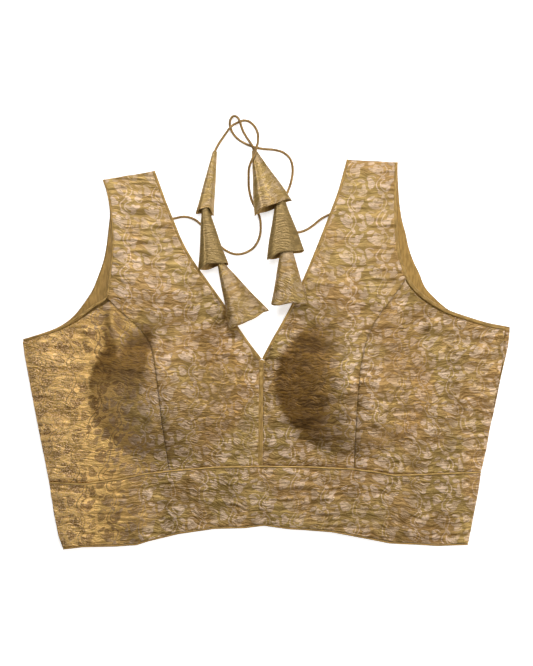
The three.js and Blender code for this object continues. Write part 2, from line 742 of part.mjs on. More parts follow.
// ---------------------------------------------------------------- the whole blouse
const blouse = new THREE.Group();
blouse.name = "choli_blouse";
for (const side of SIDES) {
  const { start, point, neck, armhole } = lines[side];
  const sign = inwards[side];
  const neckRun = alongLine(neck, spaced(0, point, 2 * point), -sign * BINDING, BINDING_WALL);
  const armRows = [...spaced(0, start, 2 * start), ...spaced(start, armhole.last, SIDE_CELLS).slice(1)];
  const armRun = alongLine(armhole, armRows, sign * ARM_BINDING[side], BINDING_WALL);
  blouse.add(
    frontCentre(side),
    frontSide(side),
    piece(`neck_binding_${side}`, outward(neckRun), SATIN),
    piece(`armhole_binding_${side}`, outward(armRun), SATIN),
    piece(`cord_${side}`, outward(cord(side, 40)), CORD_SATIN),
  );
  tassels[side].forEach((spec, i) => blouse.add(piece(`${side}_tassel_cone_${i + 1}`, cone(spec), BROCADE)));
}
blouse.add(
  piece("centre_front_strip", centreStrip(), SATIN),
  piece("waist_piping", piping(waistLine, [-PIPING, 0]), SATIN),
  piece("front_band", frontBand(), BROCADE),
  piece("hem_piping", piping(hemLine, [0, PIPING]), SATIN),
  piece("back_panel", outward(flatPiece(backOutline(0, 0), 0, BACK_CLOTH)), BROCADE),
  piece("back_lining", outward(flatPiece(backOutline(0.6, 6.6), LINING_FLOOR, LINING)), SATIN),
  piece("back_band", outward(flatPiece(backBand(), 0, BACK_CLOTH)), BROCADE),
  piece("side_lap", outward(sideLap()), BROCADE),
);

export default blouse;
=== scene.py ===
"""A gold brocade choli blouse laid flat, front up, with its tie cords and cloth tassels.

Each class below cuts and sews one part of the blouse. Sizes are millimetres in the blouse's
own frame, as a maker's pattern gives them, and become metres when a mesh is made.
"""

import json
import logging
import math
from dataclasses import dataclass, field
from enum import Enum
from typing import Callable, ClassVar, NamedTuple, Sequence

import bmesh
import bpy
import numpy as np
from mathutils import Vector
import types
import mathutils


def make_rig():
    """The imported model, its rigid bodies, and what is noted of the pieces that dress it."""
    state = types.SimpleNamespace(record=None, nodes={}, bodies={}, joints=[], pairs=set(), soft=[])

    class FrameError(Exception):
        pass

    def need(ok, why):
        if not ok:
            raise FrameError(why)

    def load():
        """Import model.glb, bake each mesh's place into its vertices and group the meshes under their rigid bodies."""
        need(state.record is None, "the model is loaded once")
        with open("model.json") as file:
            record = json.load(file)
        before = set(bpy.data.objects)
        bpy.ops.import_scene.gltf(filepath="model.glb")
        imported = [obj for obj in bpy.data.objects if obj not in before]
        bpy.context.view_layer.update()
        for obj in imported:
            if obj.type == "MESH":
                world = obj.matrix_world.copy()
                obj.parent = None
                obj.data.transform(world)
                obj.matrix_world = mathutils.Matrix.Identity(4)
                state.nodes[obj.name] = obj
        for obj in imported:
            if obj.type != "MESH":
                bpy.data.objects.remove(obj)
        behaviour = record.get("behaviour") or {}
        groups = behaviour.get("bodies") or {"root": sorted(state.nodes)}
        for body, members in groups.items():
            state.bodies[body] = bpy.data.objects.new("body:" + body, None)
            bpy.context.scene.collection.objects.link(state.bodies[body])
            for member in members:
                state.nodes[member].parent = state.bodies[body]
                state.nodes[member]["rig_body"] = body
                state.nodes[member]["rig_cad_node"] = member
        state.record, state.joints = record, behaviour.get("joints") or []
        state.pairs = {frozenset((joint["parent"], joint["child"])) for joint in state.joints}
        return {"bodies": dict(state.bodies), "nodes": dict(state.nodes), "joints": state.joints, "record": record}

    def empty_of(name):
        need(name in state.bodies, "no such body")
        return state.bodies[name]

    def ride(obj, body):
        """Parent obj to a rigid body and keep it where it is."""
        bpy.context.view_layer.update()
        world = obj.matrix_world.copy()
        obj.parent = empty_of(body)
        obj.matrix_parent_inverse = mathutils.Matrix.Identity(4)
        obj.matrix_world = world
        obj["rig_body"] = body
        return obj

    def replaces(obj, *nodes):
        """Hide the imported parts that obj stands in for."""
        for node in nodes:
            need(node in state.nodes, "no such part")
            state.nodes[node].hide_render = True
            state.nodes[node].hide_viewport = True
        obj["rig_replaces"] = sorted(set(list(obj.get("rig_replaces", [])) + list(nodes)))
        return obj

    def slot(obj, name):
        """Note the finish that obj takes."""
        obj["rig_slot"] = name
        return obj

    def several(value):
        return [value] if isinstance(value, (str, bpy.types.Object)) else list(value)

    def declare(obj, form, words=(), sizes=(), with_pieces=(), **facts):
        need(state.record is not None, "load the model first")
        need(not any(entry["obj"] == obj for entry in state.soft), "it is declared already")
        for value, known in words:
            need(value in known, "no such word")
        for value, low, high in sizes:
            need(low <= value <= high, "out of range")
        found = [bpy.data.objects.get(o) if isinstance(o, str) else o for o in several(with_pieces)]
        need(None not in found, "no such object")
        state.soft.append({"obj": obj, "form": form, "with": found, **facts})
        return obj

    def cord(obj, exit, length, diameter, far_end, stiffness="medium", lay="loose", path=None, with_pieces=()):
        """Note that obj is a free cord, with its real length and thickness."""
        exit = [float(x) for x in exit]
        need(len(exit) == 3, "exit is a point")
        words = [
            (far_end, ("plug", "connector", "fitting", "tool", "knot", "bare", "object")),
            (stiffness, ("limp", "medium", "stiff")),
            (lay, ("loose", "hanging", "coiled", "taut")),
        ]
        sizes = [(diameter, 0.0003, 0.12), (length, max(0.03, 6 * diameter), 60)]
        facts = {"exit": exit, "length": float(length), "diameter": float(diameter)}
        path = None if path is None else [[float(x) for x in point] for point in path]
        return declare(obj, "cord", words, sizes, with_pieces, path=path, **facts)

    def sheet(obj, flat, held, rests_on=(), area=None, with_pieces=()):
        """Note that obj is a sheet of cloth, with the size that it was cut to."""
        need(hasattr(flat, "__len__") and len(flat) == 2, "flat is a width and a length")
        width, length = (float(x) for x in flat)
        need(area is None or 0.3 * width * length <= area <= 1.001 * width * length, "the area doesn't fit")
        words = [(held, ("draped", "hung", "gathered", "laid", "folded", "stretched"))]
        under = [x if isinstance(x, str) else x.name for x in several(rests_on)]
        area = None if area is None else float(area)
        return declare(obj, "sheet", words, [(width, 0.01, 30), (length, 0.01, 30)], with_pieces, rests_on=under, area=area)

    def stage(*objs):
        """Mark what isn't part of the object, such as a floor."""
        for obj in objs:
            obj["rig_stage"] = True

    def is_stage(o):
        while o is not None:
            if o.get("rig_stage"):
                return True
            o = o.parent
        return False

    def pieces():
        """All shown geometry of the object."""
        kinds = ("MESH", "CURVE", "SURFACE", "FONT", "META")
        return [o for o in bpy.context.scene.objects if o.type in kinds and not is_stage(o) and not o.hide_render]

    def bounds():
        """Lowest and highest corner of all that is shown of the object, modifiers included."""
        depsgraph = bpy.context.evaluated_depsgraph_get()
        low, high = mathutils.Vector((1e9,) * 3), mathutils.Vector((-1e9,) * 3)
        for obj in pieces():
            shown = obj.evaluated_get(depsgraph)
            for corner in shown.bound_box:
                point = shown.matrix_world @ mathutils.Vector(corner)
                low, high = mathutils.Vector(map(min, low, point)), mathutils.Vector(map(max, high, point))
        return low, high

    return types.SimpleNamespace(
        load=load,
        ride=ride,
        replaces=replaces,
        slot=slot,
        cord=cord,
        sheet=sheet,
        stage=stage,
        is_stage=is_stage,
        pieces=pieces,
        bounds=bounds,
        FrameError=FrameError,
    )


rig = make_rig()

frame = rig.load()
CAD_BOX = [list(map(float, corner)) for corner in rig.bounds()]

LOG = logging.getLogger("choli_blouse")
MM = 0.001

GAP = 0.3
CLOTH = 1.4
BACK_CLOTH = 1.2
LINING = 1.0
BINDING = 3.2
BINDING_WALL = 1.9
PIPING = 1.8
PIPING_WALL = 2.2
STRIP = 5.0
CORD = 2.5
TUCK = 0.5
LINING_FLOOR = BACK_CLOTH + GAP
SIDE_LIFT = LINING_FLOOR + LINING + GAP + BINDING_WALL / 2


class Side(Enum):
    """A side of the blouse, as seen from above its front."""

    LEFT = "left"
    RIGHT = "right"

    @property
    def inward(self) -> int:
        """The sign of X from this side's armhole towards the centre front."""
        return 1 if self is Side.LEFT else -1

    @property
    def arm_binding(self) -> float:
        """How much of the armhole binding shows on this side."""
        return 2.2 if self is Side.LEFT else 3.6


class Point(NamedTuple):
    """A place in plan."""

    x: float
    y: float


class PanelRow(NamedTuple):
    """One row of a front centre panel: its neck edge, then its armhole or seam edge."""

    neck_x: float
    neck_y: float
    arm_x: float
    arm_y: float


class LiftRow(NamedTuple):
    """How far the front lifts off the layers beneath at one height up the blouse."""

    y: float
    rise: float
    drop: float


class Cup(NamedTuple):
    """A moulded cup: its middle, its reach each way, and how far it stands up."""

    x: float
    y: float
    inner: float
    outer: float
    above: float
    below: float
    height: float


class Fold(NamedTuple):
    """A soft fold: a ridge where its rise is above 0, a trough where it is below."""

    x: float
    y: float
    wide: float
    tall: float
    turn: float
    rise: float


class ConeRow(NamedTuple):
    """One cone of a tassel: its top, its mouth's middle, and the mouth's shape."""

    x: float
    y: float
    z: float
    mouth_x: float
    mouth_y: float
    mouth_z: float
    wide: float
    tall: float
    roll: float
    skew: float


def points(*rows: tuple[float, float]) -> list[Point]:
    """Rows of X and Y as places in plan."""
    return [Point(*row) for row in rows]


SIDE_SEAM = {
    Side.LEFT: points(
        (-240.5, 14), (-238.5, 0), (-233, -30), (-229, -51), (-222.5, -84), (-215, -121),
        (-209.5, -157), (-205, -179), (-200.5, -192),
    ),
    Side.RIGHT: points(
        (235.5, 28), (234.5, 12), (233, -6), (229.5, -25), (225, -47), (220, -77), (217, -94),
        (212, -115), (209, -137), (204.5, -160), (199, -188),
    ),
}
OPEN_SIDE = points((241, 26), (239, 8), (236, -5), (232.5, -20), (227, -47), (222, -70))
WAIST = points(
    (-216, -125.5), (-180, -126.5), (-147, -122), (-120, -116.5), (-85, -112.5), (-52, -110),
    (-7, -109), (38, -109.5), (84, -111.5), (104, -114), (125, -117.5), (145, -117.5),
    (178, -116), (213, -115),
)
HEM = points(
    (-201, -192.5), (-181, -190), (-147, -189), (-128, -187.5), (-115, -183.5), (-85, -176.5),
    (-52, -171.5), (-21, -171), (-2, -168.5), (24, -172), (64, -175), (97, -181), (121, -186),
    (168, -188.5), (199, -188),
)
CENTRE_PANEL = {
    Side.LEFT: [
        PanelRow(-110, 182, -161.5, 172.5),
        PanelRow(-105.5, 170, -158, 162),
        PanelRow(-99, 152, -155, 148),
        PanelRow(-91.5, 133.5, -153, 129),
        PanelRow(-83, 113, -152.3, 110),
        PanelRow(-72.5, 94, -153.5, 92),
        PanelRow(-55.5, 70, -156, 73),
        PanelRow(-40, 48, -159, 57),
        PanelRow(-27, 27, -141, 40),
        PanelRow(-15, 10, -123, 24),
        PanelRow(-4.3, -4, -112, 8),
        PanelRow(-4.5, -25, -107.5, -11),
        PanelRow(-5, -50, -103.5, -40),
        PanelRow(-5.2, -80, -100, -76),
        PanelRow(-5.5, -108.9, -96, -113.6),
    ],
    Side.RIGHT: [
        PanelRow(79.5, 193, 130, 190),
        PanelRow(76, 180, 129.5, 174),
        PanelRow(70.5, 160.5, 129, 155),
        PanelRow(62.5, 139.5, 129.2, 138),
        PanelRow(53.5, 116, 129.8, 121),
        PanelRow(45, 95, 131.5, 105),
        PanelRow(36, 74, 135, 91),
        PanelRow(25, 50, 140, 78),
        PanelRow(16, 33, 126, 58),
        PanelRow(7.3, 18, 113, 41.5),
        PanelRow(0.6, 5.5, 103, 26),
        PanelRow(-4.3, -4, 96, 10),
        PanelRow(-4.5, -25, 91, -11),
        PanelRow(-5, -50, 88.8, -32),
        PanelRow(-5.2, -80, 87, -65),
        PanelRow(-5.5, -108.9, 86.6, -111.6),
    ],
}
SEAM_START = 7
NECK_POINT = {Side.LEFT: 10, Side.RIGHT: 11}
LOWER_ARMHOLE = {
    Side.LEFT: points(
        (-159, 57), (-170, 49.5), (-183, 40), (-197, 31), (-213, 24), (-228, 19), (-240, 15.5)
    ),
    Side.RIGHT: points(
        (140, 78), (146.5, 68), (154, 60.5), (162.5, 54), (173, 47.5), (183, 43), (199, 37.5),
        (219, 31.5), (235.5, 28.5),
    ),
}
BACK_ARMHOLE = {
    Side.LEFT: points(
        (-161.5, 172), (-158, 162), (-155.5, 148), (-154.8, 138.5), (-156.5, 121.5),
        (-158.5, 105), (-161.5, 91.5), (-167, 76), (-172, 64), (-179, 53), (-189, 40),
        (-199, 31.5), (-213, 24), (-240.5, 14.5),
    ),
    Side.RIGHT: points(
        (129.5, 189.5), (130, 181), (131, 162), (132, 149), (134.5, 133), (138, 120),
        (141, 106), (146, 92), (151.5, 80.5), (157.5, 66.5), (168.5, 54.5), (181.5, 44),
        (198.5, 37.5), (219, 31.5), (241, 27.5),
    ),
}
BACK_NECK = {
    Side.LEFT: points(
        (-111, 181), (-105, 160), (-101, 142), (-98, 122), (-95, 100), (-92, 78), (-88, 50),
        (-82, 22), (-72, -4), (-56, -26), (-34, -41), (-5, -47),
    ),
    Side.RIGHT: points(
        (81, 192), (76, 166), (72, 140), (71, 110), (70.5, 78), (69.5, 50), (66, 22),
        (58, -4), (44, -26), (24, -41), (-5, -47),
    ),
}
CUPS = (
    Cup(-98, -35, 80, 77, 70, 70, 37),
    Cup(89, -27, 80, 78, 73, 75, 37),
)
CUP_ROUND = 1.25
SWELL_REACH = 12.0
LIFT = (
    LiftRow(-195, 3.5, 0.9),
    LiftRow(-150, 5, 0.8),
    LiftRow(-127, 5.2, 0),
    LiftRow(-60, 6, 0),
    LiftRow(20, 4, 0),
    LiftRow(60, 2.2, 0),
    LiftRow(120, 1.5, 0),
    LiftRow(165, 0.5, 0),
    LiftRow(196, 0.2, 0),
)
FOLDS = (
    Fold(-122, -178, 13, 34, 0.25, 3.2),
    Fold(-60, -185, 26, 40, 0.1, 2.2),
    Fold(12, -182, 18, 36, -0.1, 2.6),
    Fold(100, -180, 16, 38, -0.3, 2.8),
    Fold(-4, -58, 12, 48, 0, -1.8),
    Fold(-109, 6, 10, 25, -0.2, 4.5),
    Fold(-150, 26, 7, 26, 0.1, 3.4),
    Fold(166, 14, 7, 30, -0.05, 3.2),
)
CORD_ROUTE = {
    Side.LEFT: [
        (-99.3, 133.6, 1.25), (-92.5, 134.5, 1.25), (-81.5, 136.5, 1.25), (-73.5, 135, 1.25),
        (-67, 131, 1.25), (-47.5, 109.5, 1.25), (-40.5, 103.5, 1.25), (-31, 99.5, 1.25),
        (-21.5, 100.5, 1.25), (-12, 106.5, 1.25), (-6.5, 117, 1.25), (-5.5, 128, 1.25),
        (-7, 137.5, 1.25), (-14, 152, 1.25), (-17, 164, 1.25), (-17.4, 176, 1.5),
        (-17.1, 183.5, 4.8), (-14.9, 190, 8.8), (-12, 196, 10), (-10.6, 201, 9),
        (-9.4, 205.2, 6), (-8.2, 210.5, 2.6), (-8.5, 219.5, 1.25), (-12, 226.5, 1.25),
        (-17.5, 231, 1.25), (-22.5, 231.6, 1.5), (-27, 230, 2.3), (-32, 227.4, 3.8),
        (-35.5, 224.3, 4.5), (-39, 220, 3.6), (-42.5, 215.2, 1.9), (-47.5, 207.6, 1.5),
    ],
    Side.RIGHT: [
        (71.6, 142.6, 1.25), (62, 138.5, 1.25), (54.5, 134.5, 1.25), (46.5, 128, 1.25),
        (38.5, 123, 1.25), (30.5, 121, 1.25), (23, 123.5, 1.25), (17.5, 131, 1.25),
        (16, 141, 1.25), (18, 152, 1.25), (21.2, 161, 1.25), (24.6, 171, 1.25),
        (26.2, 184.5, 1.25), (23.5, 194, 1.25), (17, 200, 1.25), (8.5, 202.6, 1.25),
        (-2.6, 203.6, 1.25), (-10.4, 205, 1.25), (-20, 208.6, 1.25), (-28.6, 214, 1.25),
        (-34, 221, 1.25), (-36, 228, 1.25), (-35, 233.6, 1.7), (-31.6, 236, 3.2),
        (-28, 234, 4.8), (-25.8, 229.6, 5.3), (-24.4, 225, 3.4), (-22.5, 220.5, 1.6),
        (-19, 214.5, 1.6), (-15.4, 209, 3.6), (-13.4, 205.4, 4.7),
    ],
}
TASSEL = {
    Side.LEFT: [
        ConeRow(-50.7, 200.7, 3.1, -60.6, 138.3, 6.6, 9.2, 5, 0, 0),
        ConeRow(-61.2, 150, 5.9, -52, 86, 9.4, 15.2, 6, 0, -1),
        ConeRow(-46.5, 92.5, 9.4, -17, 34.5, 12.8, 22, 6.5, 10, 0),
    ],
    Side.RIGHT: [
        ConeRow(-12.1, 201.6, 4, 6.8, 144.8, 9.6, 20.5, 7, 0, -1.5),
        ConeRow(12.7, 161.4, 7.8, 19, 97.7, 10.4, 19.3, 6, 0, -2.5),
        ConeRow(19.1, 118.5, 9.9, 22.7, 50.2, 14, 18.2, 6, -7, 0),
    ],
}
LIP = {Side.LEFT: (0.1, 0.055, -0.015), Side.RIGHT: (0.045, 0.045, -0.012)}
# How steeply the cloth has to lean to the left before painted shade darkens it and its figure, and over what more.
LEAN_FROM = 0.16
LEAN_OVER = 0.3
# How much of that painted shade the cloth takes where it leans to the right.
RIGHT_LEAN = 0.45
# Where the left cup is painted with a patch of shade beside its seam, and the line below which the painted shade on
# its left fades.
SHADE_PATCH = Fold(-131.0, -6.0, 20.0, 25.0, 0.2, 0.7)
SHADE_FADES_BELOW = -52.0
FLAP = {Side.LEFT: (0.35, 0.9, 1.3), Side.RIGHT: (0.8, 0.3, 0.0)}
CORD_TAIL = 12.0


class PlanLine:
    """A smooth line in plan through rows, with a sharp corner at some of them."""

    def __init__(self, rows: Sequence[tuple[float, ...]], corners: Sequence[int] = ()) -> None:
        """Takes the line's rows.

        Args:
            rows: Places that the line runs through, in order.
            corners: Row numbers where it turns sharply.
        """
        self.rows = np.array([tuple(row) for row in rows], dtype=float)
        self.last = len(rows) - 1
        self.ends = [0, *corners, self.last]

    def _span(self, row: np.ndarray) -> tuple[np.ndarray, ...]:
        """The four guiding places of each row number's span, and how far along it lies.

        Args:
            row: Row numbers, whole or not.

        Returns:
            The places before, at the start, at the end and after, then the share and steps.
        """
        low = np.clip(np.ceil(row - 0.01).astype(int) - 1, 0, self.last - 1)
        share = np.minimum(row - low, 1)[:, None]
        start, end = self.rows[low], self.rows[low + 1]
        before, after = np.empty_like(start), np.empty_like(end)
        for i, number in enumerate(low):
            first = number in self.ends
            final = number + 1 in self.ends
            before[i] = 2 * start[i] - end[i] if first else self.rows[number - 1]
            after[i] = 2 * end[i] - start[i] if final else self.rows[number + 2]
        steps = [
            np.maximum(np.linalg.norm(b - a, axis=1, keepdims=True), 1e-6) ** 0.5
            for a, b in ((before, start), (start, end), (end, after))
        ]
        return before, start, end, after, share, *steps

    def _shape(self, row: np.ndarray) -> tuple[np.ndarray, ...]:
        """The cubic of each row number's span, with how far along it lies."""
        before, start, end, after, t, d0, d1, d2 = self._span(np.asarray(row, dtype=float))
        out = ((start - before) / d0 - (end - before) / (d0 + d1) + (end - start) / d1) * d1
        back = ((end - start) / d1 - (after - start) / (d1 + d2) + (after - end) / d2) * d1
        c2 = -3 * start + 3 * end - 2 * out - back
        c3 = 2 * start - 2 * end + out + back
        return start, out, c2, c3, t

    def at(self, row: np.ndarray) -> np.ndarray:
        """The places at some row numbers."""
        c0, c1, c2, c3, t = self._shape(row)
        return c0 + c1 * t + c2 * t**2 + c3 * t**3

    def along(self, row: np.ndarray) -> np.ndarray:
        """The line's direction at some row numbers, of length 1."""
        _, c1, c2, c3, t = self._shape(row)
        run = c1 + 2 * c2 * t + 3 * c3 * t**2
        return run / np.linalg.norm(run, axis=1, keepdims=True)

    def aside(self, row: np.ndarray, distance: float | np.ndarray) -> np.ndarray:
        """Places beside a plan line.

        Args:
            row: Row numbers.
            distance: How far to the left of the line's direction, seen from above.

        Returns:
            One place in plan for each row number.
        """
        place, run = self.at(row), self.along(row)
        reach = np.broadcast_to(np.asarray(distance, dtype=float), (len(place),))[:, None]
        return place + np.stack([-run[:, 1], run[:, 0]], axis=1) * reach

    def evenly(self, step: float) -> np.ndarray:
        """Places along the line an even step apart.

        Args:
            step: About how far apart they lie.

        Returns:
            The places, from the first row to the last.
        """
        dense = self.at(np.linspace(0, self.last, self.last * 40 + 1))
        run = np.concatenate([[0], np.cumsum(np.linalg.norm(np.diff(dense, axis=0), axis=1))])
        count = max(2, round(run[-1] / step))
        wanted = np.linspace(0, run[-1], count + 1)
        return np.stack([np.interp(wanted, run, dense[:, i]) for i in range(dense.shape[1])], 1)


def read_off(table: Sequence[Point], x: np.ndarray) -> np.ndarray:
    """The height of a line drawn from left to right, at some X."""
    return np.interp(x, [row.x for row in table], [row.y for row in table])


def side_x(table: Sequence[Point], y: np.ndarray) -> np.ndarray:
    """The X of a line drawn from the top down, at some Y."""
    return np.interp(y, [row.y for row in table][::-1], [row.x for row in table][::-1])


def softened(height: np.ndarray, across: float, along: float) -> np.ndarray:
    """A grid of heights, with everything smaller than a size smoothed out.

    Args:
        height: The grid, a row for each Y and a column for each X.
        across: The size along X, in cells.
        along: The size along Y, in cells.

    Returns:
        The smoothed grid.
    """
    wave = np.fft.rfft2(height)
    fy = np.fft.fftfreq(height.shape[0])[:, None]
    fx = np.fft.rfftfreq(height.shape[1])[None, :]
    wave *= np.exp(-2 * math.pi**2 * ((fx * across) ** 2 + (fy * along) ** 2))
    return np.fft.irfft2(wave, s=height.shape)


class Crease(NamedTuple):
    """A pressed crease: a soft ridge or trough along a short line."""

    x: float
    y: float
    end_x: float
    end_y: float
    width: float
    rise: float


CREASES = (
    Crease(-153, 46, -146, 11, 3.2, 1.3),
    Crease(-146, 11, -145, -12, 3.0, 1.0),
    Crease(-176, 34, -176, 2, 4.5, 1.2),
    Crease(162, 42, 157, -6, 4.5, 1.3),
    Crease(-128, 60, -60, 52, 9, 0.9),
    Crease(-150, 92, -92, 76, 8, 0.8),
    Crease(-120, 116, -90, 100, 6, 0.6),
    Crease(62, 96, 126, 88, 8, 0.8),
    Crease(40, 66, 118, 58, 9, 0.9),
    Crease(96, 150, 124, 146, 6, 0.5),
    Crease(-60, 8, -14, -4, 7, 1.0),
    Crease(8, -14, 44, -22, 6, -0.9),
    Crease(-70, -98, -20, -92, 7, 0.9),
    Crease(20, -92, 66, -98, 7, 0.8),
    Crease(-196, -30, -178, -96, 9, 1.1),
    Crease(196, -20, 190, -92, 9, 1.0),
    Crease(-150, -104, -112, -98, 5, 0.7),
    Crease(116, -100, 168, -104, 6, 0.7),
    Crease(-184, -140, -178, -180, 8, 1.2),
    Crease(-96, -128, -90, -166, 8, 0.9),
    Crease(-30, -124, -24, -160, 7, 0.8),
    Crease(60, -126, 56, -166, 8, 0.9),
    Crease(150, -130, 144, -176, 8, 1.0),
    Crease(-47, 58, -42, 24, 2.4, 1.5),
    Crease(-42, 50, -36, 16, 2.2, -1.2),
    Crease(-55, 62, -52, 40, 3.0, 0.9),
)


class ClothField:
    """The laid front as a map of heights, one a millimetre each way, and its woven grain."""

    LOW = (-262, -214)
    SIZE = (524, 460)

    def __init__(self) -> None:
        """Works out the heights, the slopes and the grain once for every piece."""
        self.xs = self.LOW[0] + np.arange(self.SIZE[0] + 1, dtype=float)
        self.ys = self.LOW[1] + np.arange(self.SIZE[1] + 1, dtype=float)
        x, y = np.meshgrid(self.xs, self.ys)
        form = softened(self._form(x, y), 2.6, 2.6)
        form += self._edge_rest(x, y, form)
        self.seam = np.zeros_like(x)
        shaped = form + self._creases(x, y) + self._seam_valleys(x, y)
        crinkle = self._crinkle(x, y)
        self.height = shaped + crinkle
        # ridge: the crinkle's height, 0 to 1, which the brocade paints lighter on its ridges as highlight and darker
        # in its valleys as shade.
        self.ridge = 0.5 + 0.5 * np.tanh(crinkle / crinkle.std())
        self.slope_y, self.slope_x = np.gradient(softened(shaped, 1.0, 1.0))
        # lean: painted shade, darker where the cloth leans aside from the light, most of all to the left.
        lean = softened(self.slope_x, 3.0, 3.0)
        left = np.clip((lean - LEAN_FROM) / LEAN_OVER, 0, 1)
        foot = np.where(x < -85.0, np.clip((y - SHADE_FADES_BELOW) / 35.0, 0.15, 1.0), 1.0)
        right = RIGHT_LEAN * np.clip((-lean - LEAN_FROM) / LEAN_OVER, 0, 1)
        self.lean = np.maximum.reduce([left * foot, right, self._shade_patch(x, y)])
        self.grain_x = self._run(self.slope_x, 1, -self.LOW[0])
        self.grain_y = self._run(self.slope_y, 0, -self.LOW[1])

    @staticmethod
    def _shade_patch(x: np.ndarray, y: np.ndarray) -> np.ndarray:
        """How far each place lies in the left cup's patch of painted shade."""
        c, s = math.cos(SHADE_PATCH.turn), math.sin(SHADE_PATCH.turn)
        across = ((x - SHADE_PATCH.x) * c + (y - SHADE_PATCH.y) * s) / SHADE_PATCH.wide
        along = ((y - SHADE_PATCH.y) * c - (x - SHADE_PATCH.x) * s) / SHADE_PATCH.tall
        return SHADE_PATCH.rise * np.exp(-((across**2 + along**2) ** 2))

    @staticmethod
    def _run(slope: np.ndarray, axis: int, zero: int) -> np.ndarray:
        """How far the cloth itself runs along one way, from the line at zero."""
        run = np.cumsum(np.sqrt(1 + slope**2), axis=axis)
        start = np.take(run, [zero], axis=axis)
        return run - start

    @staticmethod
    def _cup(cup: Cup, x: np.ndarray, y: np.ndarray) -> np.ndarray:
        """How far a cup stands up at some places."""
        towards = (x - cup.x) * -np.sign(cup.x) > 0
        across = (x - cup.x) / np.where(towards, cup.inner, cup.outer)
        along = (y - cup.y) / np.where(y > cup.y, cup.above, cup.below)
        inside = np.clip(1 - across**2 - along**2, 0, None)
        return cup.height * inside**CUP_ROUND

    def _form(self, x: np.ndarray, y: np.ndarray) -> np.ndarray:
        """The middle of the front's wall, without its small creases."""
        in_left = x - side_x(SIDE_SEAM[Side.LEFT], y)
        in_right = side_x(SIDE_SEAM[Side.RIGHT], y) - x
        free = 1 - np.exp(-np.clip(np.minimum(in_left, in_right), 0, None) / SWELL_REACH)
        heights = [row.y for row in LIFT]
        rise = np.interp(y, heights, [row.rise for row in LIFT])
        for fold in FOLDS:
            c, s = math.cos(fold.turn), math.sin(fold.turn)
            across = ((x - fold.x) * c + (y - fold.y) * s) / fold.wide
            along = ((y - fold.y) * c - (x - fold.x) * s) / fold.tall
            rise = rise + fold.rise * np.exp(-(across**2) - along**2)
        raised = sum(self._cup(cup, x, y) for cup in CUPS)
        drop = np.interp(y, heights, [row.drop for row in LIFT])
        return SIDE_LIFT - drop + free * (np.clip(rise, 0, None) + raised)

    @staticmethod
    def _edge_rest(x: np.ndarray, y: np.ndarray, form: np.ndarray) -> np.ndarray:
        """Lets nothing sink below the layers that the front rests on."""
        return np.clip(SIDE_LIFT - 0.9 - form, 0, None)

    @staticmethod
    def _creases(x: np.ndarray, y: np.ndarray) -> np.ndarray:
        """The pressed creases, each a little uneven along its line."""
        total = np.zeros_like(x)
        for number, crease in enumerate(CREASES):
            start = np.array([crease.x, crease.y])
            run = np.array([crease.end_x, crease.end_y]) - start
            length = float(np.hypot(*run))
            run = run / length
            along = (x - start[0]) * run[0] + (y - start[1]) * run[1]
            sway = 1.6 * np.sin(along / 9 + number)
            off = (x - start[0]) * -run[1] + (y - start[1]) * run[0] + sway
            share = np.clip(along / length, -0.4, 1.4)
            fade = np.exp(-(((share - 0.5) / 0.42) ** 4))
            ridge = np.exp(-((off / crease.width) ** 2))
            trough = np.exp(-(((off - 1.9 * crease.width) / (1.3 * crease.width)) ** 2))
            total += crease.rise * fade * (ridge - 0.55 * trough)
        return total

    def _seam_valleys(self, x: np.ndarray, y: np.ndarray) -> np.ndarray:
        """The valley that each princess seam and the centre strip pull into the cloth."""
        total = np.zeros_like(x)
        for side in Side:
            table = CENTRE_PANEL[side]
            seam = PlanLine([(row.arm_x, row.arm_y) for row in table[SEAM_START:]]).evenly(3)
            middle = PlanLine([(row.neck_x, row.neck_y) for row in table[NECK_POINT[side]:]])
            for line, depth, wide in ((seam, 0.9, 2.2), (middle.evenly(3), 0.35, 5)):
                near = np.full(x.shape, 1e9)
                for place in line:
                    near = np.minimum(near, (x - place[0]) ** 2 + (y - place[1]) ** 2)
                total -= depth * np.exp(-near / (2 * wide**2))
                # A mark beside the princess seams, which the brocade paints as shade in their valleys.
                if depth > 0.5:
                    self.seam = np.maximum(self.seam, np.exp(-near / 1.1))
        above = y - read_off(WAIST, x)
        return total - 0.8 * np.exp(-(((above - 0.6) / 1.5) ** 2))

    @staticmethod
    def _crinkle(x: np.ndarray, y: np.ndarray) -> np.ndarray:
        """The crinkle that the metal thread gives the weave, mostly across the cloth."""
        dice = np.random.default_rng(11)
        total = np.zeros_like(x)
        for across, along, rise in ((5, 0.85, 0.3), (8, 1.3, 0.3), (9, 3.0, 0.3)):
            noise = softened(dice.standard_normal(x.shape), across, along)
            total += rise * noise / noise.std()
        patches = softened(dice.standard_normal(x.shape), 16, 13)
        return total * (0.75 + 0.4 * np.tanh(patches / patches.std()))

    def read(self, grid: np.ndarray, x: np.ndarray, y: np.ndarray) -> np.ndarray:
        """A grid's value at some places, between its cells.

        Args:
            grid: One of this field's grids.
            x: The places' X.
            y: The places' Y.

        Returns:
            One value for each place.
        """
        fx = np.clip(x - self.LOW[0], 0, self.SIZE[0] - 1e-6)
        fy = np.clip(y - self.LOW[1], 0, self.SIZE[1] - 1e-6)
        ix, iy = fx.astype(int), fy.astype(int)
        tx, ty = fx - ix, fy - iy
        low = grid[iy, ix] * (1 - tx) + grid[iy, ix + 1] * tx
        high = grid[iy + 1, ix] * (1 - tx) + grid[iy + 1, ix + 1] * tx
        return low * (1 - ty) + high * ty

